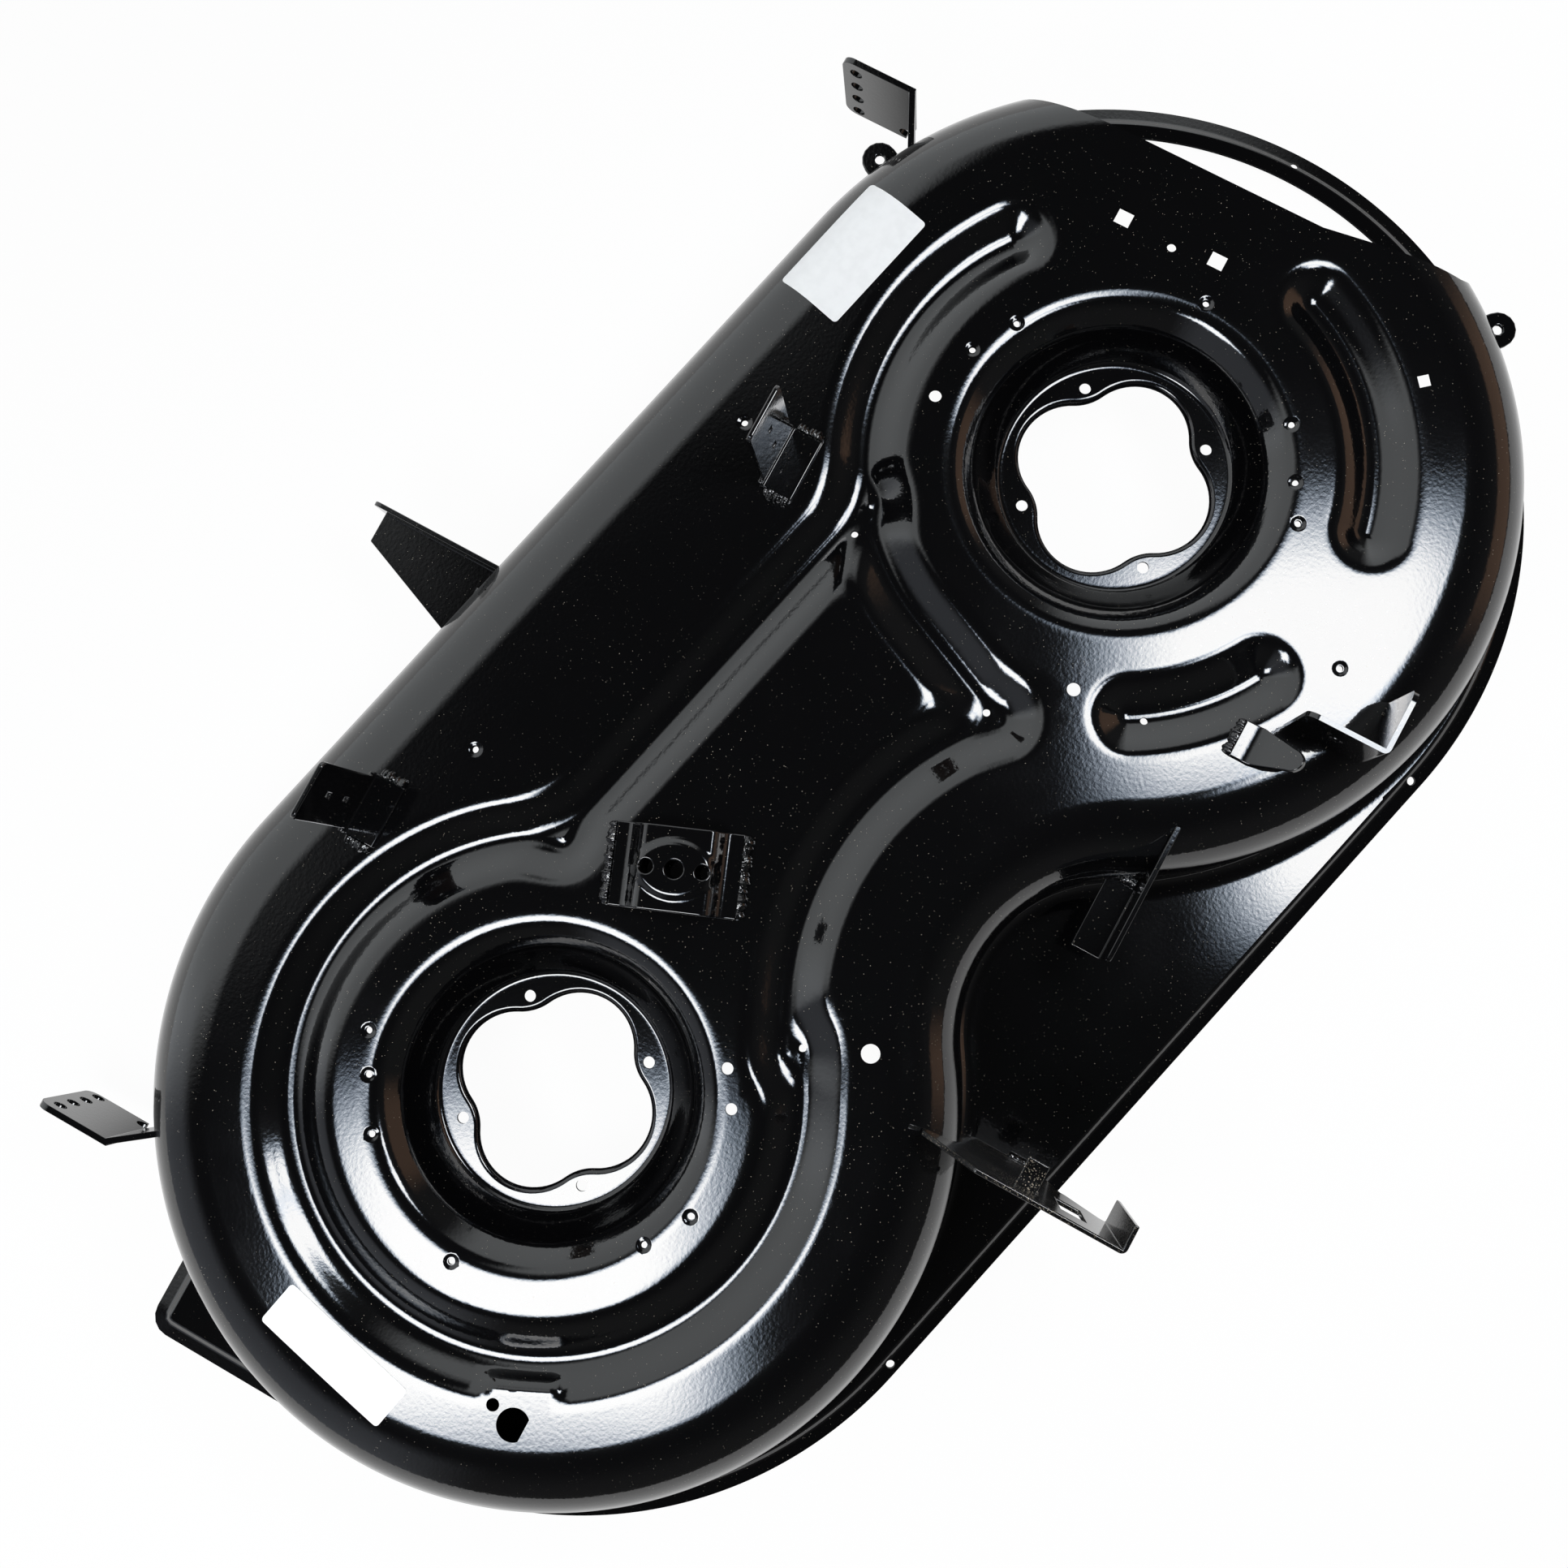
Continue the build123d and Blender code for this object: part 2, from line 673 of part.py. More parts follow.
def idler_welds():
    """Return the weld beads along both feet of the hat bracket."""
    bead = Rot(90, 0, 0) * extrude(quarter(weld_leg), idler_width)
    right = Pos(idler_length / 2, idler_width / 2, top_z) * bead
    left = Pos(-idler_length / 2, -idler_width / 2, top_z) * Rot(0, 0, 180) * bead
    return Pos(*idler_at) * Rot(0, 0, idler_turn) * (right + left)


def rear_right_hanger():
    """Return the upright angle on the right lobe's rear shoulder."""
    x, end = rear_right_x, rear_right_to
    side = box(x, x + plate, end, rear_right_from, 0, rear_right_top)
    side = round_corners(side, Axis.X, [(x, rear_right_from, rear_right_top)], rear_right_corner_r)
    flange = box(x, x + rear_right_flange, end, end + plate, 0, rear_right_top)
    flange = round_corners(flange, Axis.Y, [(x + rear_right_flange, end, rear_right_top)],
                           rear_right_corner_r)
    body = side + flange
    bend = body.edges().filter_by(Axis.Z).sort_by_distance((x, end, rear_right_top))[0]
    body = fillet(bend, bend_r)
    hole_y, hole_z = rear_right_hole
    body -= Pos(x, hole_y, hole_z) * Rot(0, 90, 0) * Cylinder(rear_right_hole_r, plate * 4)
    return seated(body)


def rear_right_tongue():
    """Return the small bent tongue beside the rear right hanger."""
    upper = [(tongue_foot_front, top_z + sheet), (tongue_bend, top_z + sheet),
             (tongue_end, top_z + sheet + tongue_rise)]
    lower = skin_line(list(reversed(upper)), -sheet)
    section = Plane.YZ * closed(upper + lower)
    reach = tongue_foot_width / 2
    body = Pos(tongue_x - reach, 0, 0) * extrude(section, 2 * reach)
    half = tongue_width / 2
    tip = tongue_end + half
    plan = closed([(-reach, tongue_foot_front), (-reach, tongue_bend), (-half, tip), (half, tip),
                   (reach, tongue_bend), (reach, tongue_foot_front)])
    plan += Pos(0, tip) * Circle(half)
    return body & (Pos(tongue_x, 0, 0) * extrude(plan, top_z * 4))


def tongue_weld():
    """Return the weld bead along the front of the tongue's foot."""
    bead = Rot(90, 0, 90) * extrude(quarter(weld_leg), tongue_foot_width)
    return Pos(tongue_x - tongue_foot_width / 2, tongue_foot_front, top_z) * bead


def waist_bracket():
    """Return the angle in the rear waist: an upright plate with a level shelf."""
    x = waist_x + waist_plate_x
    y = waist_y + waist_plate_y
    end = x + waist_plate_length
    side = box(x, end, y, y + plate, waist_shelf_z, waist_plate_top)
    side = round_corners(side, Axis.Y, [(x, y, waist_plate_top)], waist_corner_r)
    shelf = box(x, end, y, y + waist_shelf_depth, waist_shelf_z, waist_shelf_z + plate)
    return seated(side + shelf)


def waist_weld():
    """Return the weld bead between the waist bracket's shelf and the wall."""
    y = waist_y + waist_plate_y + plate
    rise = waist_plate_y + waist_shelf_depth / 2
    wall = waist_x + math.sqrt(waist_r ** 2 - rise ** 2)
    length = waist_shelf_depth - plate * 2
    bead = Rot(-90, 0, 0) * Cylinder(waist_weld_r, length)
    bead = Pos(wall, y + plate / 2 + length / 2, waist_shelf_z + plate) * bead
    keep = box(wall - waist_r, wall + waist_r, y, y + waist_shelf_depth, waist_shelf_z + plate, top_z)
    return seated(bead & keep)


def rear_left_hanger():
    """Return the tall rear left hanger that stands on the rim panel."""
    x, end = rear_left_x, rear_left_end
    body = upright_x([
        (rear_left_front, top_z - shoulder_r),
        (rear_left_front, rear_left_nose_z),
        (rear_left_crest, rear_left_top),
        (end, rear_left_top),
        (end, rear_left_flange_bottom),
        (end + bend_r + plate, rear_left_flange_bottom),
        (rear_left_overhang - plate, rear_left_overhang_z),
        (rear_left_overhang, rear_left_overhang_z),
        (rear_left_foot_end, panel_z),
        (rear_left_front, panel_z),
    ], x, plate)
    flange = box(x, x + rear_left_flange, end, end + plate, rear_left_flange_bottom, rear_left_top)
    body += flange
    bend = body.edges().filter_by(Axis.Z).sort_by_distance((x, end, rear_left_top))[0]
    body = fillet(bend, bend_r)
    slot_y, slot_z = rear_left_slot
    body -= Pos(x, slot_y, slot_z) * Box(plate * 4, *rear_left_slot_size)
    lug = box(x, x + plate + rear_left_lug_length, rear_left_lug_y - rear_left_lug_width / 2,
              rear_left_lug_y + rear_left_lug_width / 2, rear_left_lug_z, rear_left_lug_z + plate)
    window = box(x - plate, x + 2 * plate, rear_left_lug_y - rear_left_lug_width / 2,
                 rear_left_lug_y + rear_left_lug_width / 2, rear_left_lug_z + plate,
                 rear_left_lug_z + plate + rear_left_lug_length)
    body = body - window + lug
    return on_panel(body)


def rear_left_weld():
    """Return the weld bead along the foot of the rear left hanger."""
    bead = Rot(90, 0, 0) * extrude(quarter(weld_leg), rear_left_weld_length)
    return on_panel(Pos(rear_left_x + plate, rear_left_foot_end + rear_left_weld_length, panel_z) * bead)


def front_hanger_weld():
    """Return the weld bead between the front hanger's gusset and the wall."""
    wall = front_wall_y(hanger_x - hanger_web_width / 2)
    bead = Rot(0, 90, -spindle_skew) * Cylinder(waist_weld_r, hanger_web_width / 2)
    bead = Pos(hanger_x - hanger_web_width / 2, wall, hanger_web_z + plate) * bead
    keep = box(hanger_x - hanger_web_width, hanger_x, wall - waist_r, wall + waist_r,
               hanger_web_z + plate, top_z)
    return seated(bead & keep)


def eyelet(angle):
    """Return a flat round ear on the right lobe's wall."""
    centre = on_arc((right_x, right_y), wall_r + eyelet_out, angle)
    face = RegularPolygon(eyelet_r, 2 * small_sides)
    face += Pos(-eyelet_r, 0) * Rectangle(2 * eyelet_r, 2 * eyelet_r)
    face -= RegularPolygon(eyelet_hole_r, small_sides)
    body = Pos(*centre, eyelet_z) * Rot(0, 0, angle) * extrude(face, plate)
    return seated(body)


pieces = {
    "deck_shell": deck_shell(),
    "left_gauge_bracket": gauge_bracket(-1),
    "right_gauge_bracket": gauge_bracket(1),
    "front_hanger": front_hanger(),
    "front_left_bracket": tall_bracket(tall_left_at),
    "front_right_bracket": tall_bracket(tall_right_at),
    "idler_bracket": idler_bracket(),
    "rear_right_hanger": rear_right_hanger(),
    "rear_right_tongue": rear_right_tongue(),
    "waist_bracket": waist_bracket(),
    "rear_left_hanger": rear_left_hanger(),
    "front_eyelet": eyelet(eyelet_front_angle),
    "rear_eyelet": eyelet(eyelet_rear_angle),
    "front_left_welds": tall_welds(tall_left_at),
    "front_right_welds": tall_welds(tall_right_at),
    "idler_welds": idler_welds(),
    "tongue_weld": tongue_weld(),
    "waist_weld": waist_weld(),
    "front_hanger_weld": front_hanger_weld(),
    "rear_left_weld": rear_left_weld(),
}

os.makedirs("parts", exist_ok=True)
for name, piece in pieces.items():
    export_step(piece, "parts/" + name + ".step")
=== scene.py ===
"""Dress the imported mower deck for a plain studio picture.

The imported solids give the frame. The pressed shell is worked out again as one fine sheet with
rounded grooves, stepped dishes and rolled edges, the brackets get softened edges and rippled weld
beads, and everything wears the same gloss black paint. Sizes in the classes are millimetres in
the deck frame, and the meshes are metres.
"""

from __future__ import annotations

import logging
import math
from dataclasses import dataclass, field
from enum import Enum
from typing import Callable

import bmesh
import bpy
import mathutils
import numpy as np
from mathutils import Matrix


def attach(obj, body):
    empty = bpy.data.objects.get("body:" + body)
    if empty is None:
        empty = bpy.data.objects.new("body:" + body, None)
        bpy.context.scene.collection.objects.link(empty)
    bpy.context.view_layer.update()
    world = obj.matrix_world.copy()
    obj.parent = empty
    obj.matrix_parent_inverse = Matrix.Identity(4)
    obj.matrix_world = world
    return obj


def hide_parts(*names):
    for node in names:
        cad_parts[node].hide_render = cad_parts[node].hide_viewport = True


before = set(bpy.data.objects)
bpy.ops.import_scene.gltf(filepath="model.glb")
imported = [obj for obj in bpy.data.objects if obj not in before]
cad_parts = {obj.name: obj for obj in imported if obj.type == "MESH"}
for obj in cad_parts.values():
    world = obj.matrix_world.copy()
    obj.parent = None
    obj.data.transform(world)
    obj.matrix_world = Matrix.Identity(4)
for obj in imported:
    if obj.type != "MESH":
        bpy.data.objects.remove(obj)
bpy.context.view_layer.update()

MM = 0.001
Array = np.ndarray
Point = tuple[float, float]
Place = tuple[float, float, float]
Colour = tuple[float, float, float, float]
log = logging.getLogger("deck")


class Side(Enum):
    """The two spindle lobes of the deck."""

    LEFT = "left"
    RIGHT = "right"


class Slot(Enum):
    """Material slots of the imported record."""

    PAINT = "black_paint"


def smooth_step(values: Array) -> Array:
    """Ease values from 0 to 1: three times the square less twice the cube, clipped at both ends.

    Args:
        values: The numbers to ease.

    Returns:
        The eased numbers.
    """
    t = np.clip(values, 0.0, 1.0)
    return t * t * (3.0 - 2.0 * t)


def polar(centre: Point, radius: Array | float, degrees: Array | float) -> Array:
    """Give points at a radius and an angle about a centre.

    Args:
        centre: The centre in the plan.
        radius: One radius or one for each point.
        degrees: One angle for each point.

    Returns:
        The points as rows of two numbers.
    """
    turn = np.radians(np.asarray(degrees, float))
    reach = np.broadcast_to(np.asarray(radius, float), turn.shape)
    return np.stack([centre[0] + reach * np.cos(turn), centre[1] + reach * np.sin(turn)], axis=-1)


def spaced(length: float, step: float) -> int:
    """Give how many equal steps of about the wanted size a length takes, at least two."""
    return max(2, int(round(abs(length) / step)))


def unit(rows: Array) -> Array:
    """Scale rows to a length of one along the last axis."""
    return rows / np.linalg.norm(rows, axis=-1, keepdims=True)


def plan_grid(u: Array, v: Array) -> Array:
    """Give all pairs from two sets of numbers as plan points."""
    return np.stack(np.meshgrid(u, v), axis=-1).reshape(-1, 2)


def ring_edges(first: int, count: int) -> Array:
    """Give the pairs of neighbours round a closed ring of consecutive indexes."""
    ring = np.arange(first, first + count)
    return np.column_stack([ring, np.roll(ring, -1)])


def grid_cells(index: Array) -> Array:
    """Give the six corners of two triangles for each cell of a grid of point indexes.

    Args:
        index: Point indexes by row and column.

    Returns:
        Six indexes for each cell, by row and column.
    """
    a, b = index[:-1, :-1], index[:-1, 1:]
    c, d = index[1:, 1:], index[1:, :-1]
    return np.stack([a, b, c, a, c, d], axis=-1)


def outward(loop: Array) -> Array:
    """Give the unit plan directions that point out of an anticlockwise loop."""
    ahead = np.roll(loop, -1, axis=0) - np.roll(loop, 1, axis=0)
    return unit(np.column_stack([ahead[:, 1], -ahead[:, 0]]))


def lifted(height: Callable[[Array], Array], plan: Array) -> tuple[Array, Array]:
    """Lift plan points onto a surface that is given by its height.

    Args:
        height: Gives one height for each plan point.
        plan: The plan points.

    Returns:
        The points and their unit normals, the normals from central differences of the height.
    """
    e = 0.05
    du = (height(plan + [e, 0.0]) - height(plan - [e, 0.0])) / (2 * e)
    dv = (height(plan + [0.0, e]) - height(plan - [0.0, e])) / (2 * e)
    return np.column_stack([plan, height(plan)]), unit(np.stack([-du, -dv, np.ones_like(du)], axis=1))


def inside(loop: Array, points: Array) -> Array:
    """Tell which points lie inside a loop: a ray along +u crosses its sides an odd number of times.

    Args:
        loop: The loop's corners in order.
        points: The points to test.

    Returns:
        One truth value for each point.
    """
    low, high = loop.min(axis=0), loop.max(axis=0)
    result = np.zeros(len(points), bool)
    near = np.flatnonzero(np.all((points >= low) & (points <= high), axis=1))
    a, b = loop, np.roll(loop, -1, axis=0)
    rise = np.where(b[:, 1] == a[:, 1], 1.0, b[:, 1] - a[:, 1])
    for part in np.array_split(near, len(near) // 4000 + 1):
        u, v = points[part, 0][:, None], points[part, 1][:, None]
        crossed = (a[:, 1] > v) != (b[:, 1] > v)
        at = a[:, 0] + (v - a[:, 1]) * (b[:, 0] - a[:, 0]) / rise
        result[part] = (crossed & (u < at)).sum(axis=1) % 2 == 1
    return result


def distance_to_loop(loop: Array, points: Array) -> Array:
    """Give each point's least distance to the sides of a closed loop.

    Args:
        loop: The loop's corners in order.
        points: The points to measure from.

    Returns:
        One distance for each point.
    """
    a = loop
    side = np.roll(loop, -1, axis=0) - a
    square = np.maximum((side ** 2).sum(axis=1), 1e-12)
    result = np.empty(len(points))
    for part in np.array_split(np.arange(len(points)), len(points) // 3000 + 1):
        rel = points[part][:, None, :] - a[None]
        share = np.clip((rel * side).sum(axis=2) / square, 0.0, 1.0)
        gap = rel - share[..., None] * side
        result[part] = np.sqrt((gap ** 2).sum(axis=2).min(axis=1))
    return result


@dataclass
class Sheet:
    """A sheet-metal surface: points with normals and triangles, given its thickness at the end."""

    name: str
    thickness: float
    points: list[Array] = field(default_factory=list)
    normals: list[Array] = field(default_factory=list)
    backs: list[Array] = field(default_factory=list)
    leans: list[Array] = field(default_factory=list)
    faces: list[Array] = field(default_factory=list)
    count: int = 0

    def add(self, points: Array, normals: Array, core: tuple[Array, Array] | None = None) -> Array:
        """Take in points with their normals.

        Args:
            points: Rows of three numbers in millimetres.
            normals: One unit normal for each point.
            core: Points and normals that the thickness is measured from, where an edge is rounded.

        Returns:
            The index of each point in the sheet.
        """
        base, lean = core or (points, normals)
        self.points.append(points)
        self.normals.append(normals)
        self.backs.append(base - self.thickness * lean)
        self.leans.append(-lean)
        first = self.count
        self.count += len(points)
        return np.arange(first, self.count)

    def grid(self, index: Array, keep: Array | None = None) -> None:
        """Fill a grid of point indexes with triangles, two for each cell.

        Args:
            index: Point indexes by row and column.
            keep: Truth values for the cells that are filled.
        """
        cells = grid_cells(index)
        if keep is not None:
            cells = cells[keep]
        self.faces.append(cells.reshape(-1, 3))

    def fill(self, loops: list[tuple[Array, Array]], extra: Array, index: Array,
             kept: Array | None = None) -> None:
        """Fill the plan between loops with triangles.

        Args:
            loops: Plan outline and sheet indexes of each loop, the outer one first.
            extra: Plan points inside, away from the loops.
            index: Sheet indexes of those points.
            kept: Pairs of rows of extra that stay joined by an edge.
        """
        plan = np.concatenate([loop for loop, _ in loops] + [extra])
        place = np.concatenate([ids for _, ids in loops] + [index])
        edges, first = [], 0
        for loop, _ in loops:
            edges.append(ring_edges(first, len(loop)))
            first += len(loop)
        if kept is not None:
            edges.append(kept + first)
        found = mathutils.geometry.delaunay_2d_cdt(plan.tolist(), np.concatenate(edges).tolist(), [], 0, 1e-4)
        origin = np.array([ids[0] if ids else -1 for ids in found[3]])
        faces = origin[np.array(found[2])]
        faces = faces[(faces >= 0).all(axis=1)]
        middle = plan[faces].mean(axis=1)
        keep = inside(loops[0][0], middle)
        for loop, _ in loops[1:]:
            keep &= ~inside(loop, middle)
        self.faces.append(place[faces[keep]])

    def turn(self, move: Callable[[Array], Array]) -> None:
        """Turn all points and normals with a function."""
        for rows in (self.points, self.normals, self.backs, self.leans):
            rows[:] = [move(row) for row in rows]

    def solid(self) -> bpy.types.Object:
        """Close the sheet into a solid: a copy one thickness back along the normals, and edge walls.

        Returns:
            The new object, with its smooth normals set corner by corner.
        """
        points, normals, back, lean, faces = (np.concatenate(rows) for rows in (
            self.points, self.normals, self.backs, self.leans, self.faces))
        a, b, c = points[faces[:, 0]], points[faces[:, 1]], points[faces[:, 2]]
        flat = np.cross(b - a, c - a)
        mean = normals[faces].sum(axis=1)
        wrong = (flat * mean).sum(axis=1) < 0.0
        faces[wrong] = faces[wrong][:, ::-1]
        used = np.unique(faces)
        place = np.full(len(points), -1)
        place[used] = np.arange(len(used))
        points, normals, back, lean, faces = points[used], normals[used], back[used], lean[used], place[faces]
        size = len(points)
        edges = np.concatenate([faces[:, [0, 1]], faces[:, [1, 2]], faces[:, [2, 0]]])
        key = np.sort(edges, axis=1)
        _, first, times = np.unique(key, axis=0, return_index=True, return_counts=True)
        rim = edges[first[times == 1]]
        walls = np.stack([rim[:, 1], rim[:, 0], rim[:, 0] + size, rim[:, 1] + size], axis=1)
        walls = np.concatenate([walls[:, [0, 1, 2]], walls[:, [0, 2, 3]]])
        solid_points = np.concatenate([points, back])
        corners = np.concatenate([faces, faces[:, ::-1] + size, walls])
        vertex_normals = np.concatenate([normals, lean])
        corner_normals = vertex_normals[corners]
        w = solid_points[walls]
        across = np.cross(w[:, 1] - w[:, 0], w[:, 2] - w[:, 0])
        across /= np.maximum(np.linalg.norm(across, axis=1, keepdims=True), 1e-12)
        corner_normals[-len(walls):] = across[:, None, :]
        piece = triangles_to_object(self.name, solid_points * MM, corners)
        piece.data.shade_smooth()
        piece.data.normals_split_custom_set(corner_normals.reshape(-1, 3).tolist())
        return piece


def triangles_to_object(name: str, points: Array, faces: Array) -> bpy.types.Object:
    """Make an object from points and triangles.

    Args:
        name: The object's name.
        points: Rows of three numbers in metres.
        faces: Rows of three point indexes.

    Returns:
        The new object, linked to the scene.
    """
    mesh = bpy.data.meshes.new(name)
    mesh.vertices.add(len(points))
    mesh.vertices.foreach_set("co", np.ascontiguousarray(points, np.float32).ravel())
    mesh.loops.add(faces.size)
    mesh.loops.foreach_set("vertex_index", np.ascontiguousarray(faces, np.int32).ravel())
    mesh.polygons.add(len(faces))
    mesh.polygons.foreach_set("loop_start", np.arange(0, faces.size, 3, dtype=np.int32))
    mesh.update(calc_edges=True)
    mesh.validate()
    return linked(mesh)


def linked(mesh: bpy.types.Mesh) -> bpy.types.Object:
    """Make an object from a mesh, under the mesh's name, and link it to the scene.

    Args:
        mesh: The finished mesh.

    Returns:
        The new object.
    """
    piece = bpy.data.objects.new(mesh.name, mesh)
    bpy.context.scene.collection.objects.link(piece)
    return piece


@dataclass(frozen=True)
class Arc:
    """A groove's centre line along an arc, anticlockwise."""

    centre: Point
    radius: float
    start: float
    end: float

    def distance(self, plan: Array) -> Array:
        """Give the distance to the arc: radial beside it, and to the nearer end past its ends.

        Args:
            plan: Points in the plan.

        Returns:
            One distance for each point.
        """
        rel = plan - np.asarray(self.centre)
        angle = np.mod(np.degrees(np.arctan2(rel[:, 1], rel[:, 0])) - self.start, 360.0)
        beside = np.abs(np.hypot(rel[:, 0], rel[:, 1]) - self.radius)
        ends = polar(self.centre, self.radius, [self.start, self.end])
        past = np.linalg.norm(plan[:, None, :] - ends[None], axis=2).min(axis=1)
        return np.where(angle <= self.end - self.start, beside, past)

    def rows(self, offsets: Array, step: float) -> Array:
        """Give points in rows beside the arc, and in fans round both ends.

        Args:
            offsets: The rows' distances from the centre line, on both sides.
            step: The spacing along a row.

        Returns:
            The points as rows of two numbers.
        """
        sweep = self.end - self.start
        turns = np.linspace(self.start, self.end, spaced(math.radians(sweep) * self.radius, step) + 1)
        grid = polar(self.centre, (self.radius + offsets)[:, None] + 0 * turns, turns + 0 * offsets[:, None])
        first, last = polar(self.centre, self.radius, [self.start, self.end])
        return np.concatenate([grid.reshape(-1, 2), fan(first, self.start - 90.0, offsets, step),
                               fan(last, self.end + 90.0, offsets, step)])


@dataclass(frozen=True)
class Run:
    """A groove's centre line along a straight line."""

    start: Point
    end: Point

    def distance(self, plan: Array) -> Array:
        """Give the distance to the line: across it beside it, and to the nearer end past its ends.

        Args:
            plan: Points in the plan.

        Returns:
            One distance for each point.
        """
        a = np.asarray(self.start)
        side = np.asarray(self.end) - a
        rel = plan - a
        share = np.clip(rel @ side / (side @ side), 0.0, 1.0)
        return np.linalg.norm(rel - share[:, None] * side, axis=1)

    def rows(self, offsets: Array, step: float) -> Array:
        """Give points in rows beside the line, and in fans round both ends.

        Args:
            offsets: The rows' distances from the centre line, on both sides.
            step: The spacing along a row.

        Returns:
            The points as rows of two numbers.
        """
        a, b = np.asarray(self.start), np.asarray(self.end)
        length = float(np.linalg.norm(b - a))
        along = (b - a) / length
        across = np.array([-along[1], along[0]])
        share = np.linspace(0.0, length, spaced(length, step) + 1)
        grid = a + share[None, :, None] * along + offsets[:, None, None] * across
        heading = math.degrees(math.atan2(along[1], along[0]))
        return np.concatenate([grid.reshape(-1, 2), fan(a, heading + 180.0, offsets, step),
                               fan(b, heading, offsets, step)])


def fan(at: Array, heading: float, offsets: Array, step: float) -> Array:
    """Give half rings of points round a groove's end.

    Args:
        at: The end of the centre line.
        heading: The direction that the groove ends in, in degrees.
        offsets: Distances from the centre line; those above zero are used.
        step: The spacing along the widest ring.

    Returns:
        The points as rows of two numbers.
    """
    reach = offsets[offsets > 0.0]
    turns = np.linspace(heading - 90.0, heading + 90.0, spaced(math.pi * reach.max(), step) + 1)
    grid = polar((float(at[0]), float(at[1])), reach[:, None] + 0 * turns, turns + 0 * reach[:, None])
    return grid.reshape(-1, 2)


@dataclass(frozen=True)
class Section:
    """A pressed section: straight flanks between corners, rounded by a moving average."""

    reach: tuple[float, ...]
    depth: tuple[float, ...]
    round_over: float

    def at(self, distance: Array) -> Array:
        """Give the depth at distances: the corner line averaged twice over the rounding width.

        Args:
            distance: Distances from the section's middle.

        Returns:
            One depth for each distance.
        """
        step = 0.1
        fine = np.arange(-40.0, 240.0, step)
        line = np.interp(np.abs(fine), self.reach, self.depth)
        width = max(1, int(self.round_over / step))
        window = np.ones(width) / width
        soft = np.convolve(np.convolve(line, window, "same"), window, "same")
        return np.interp(distance, fine[width * 2:-width * 2], soft[width * 2:-width * 2])


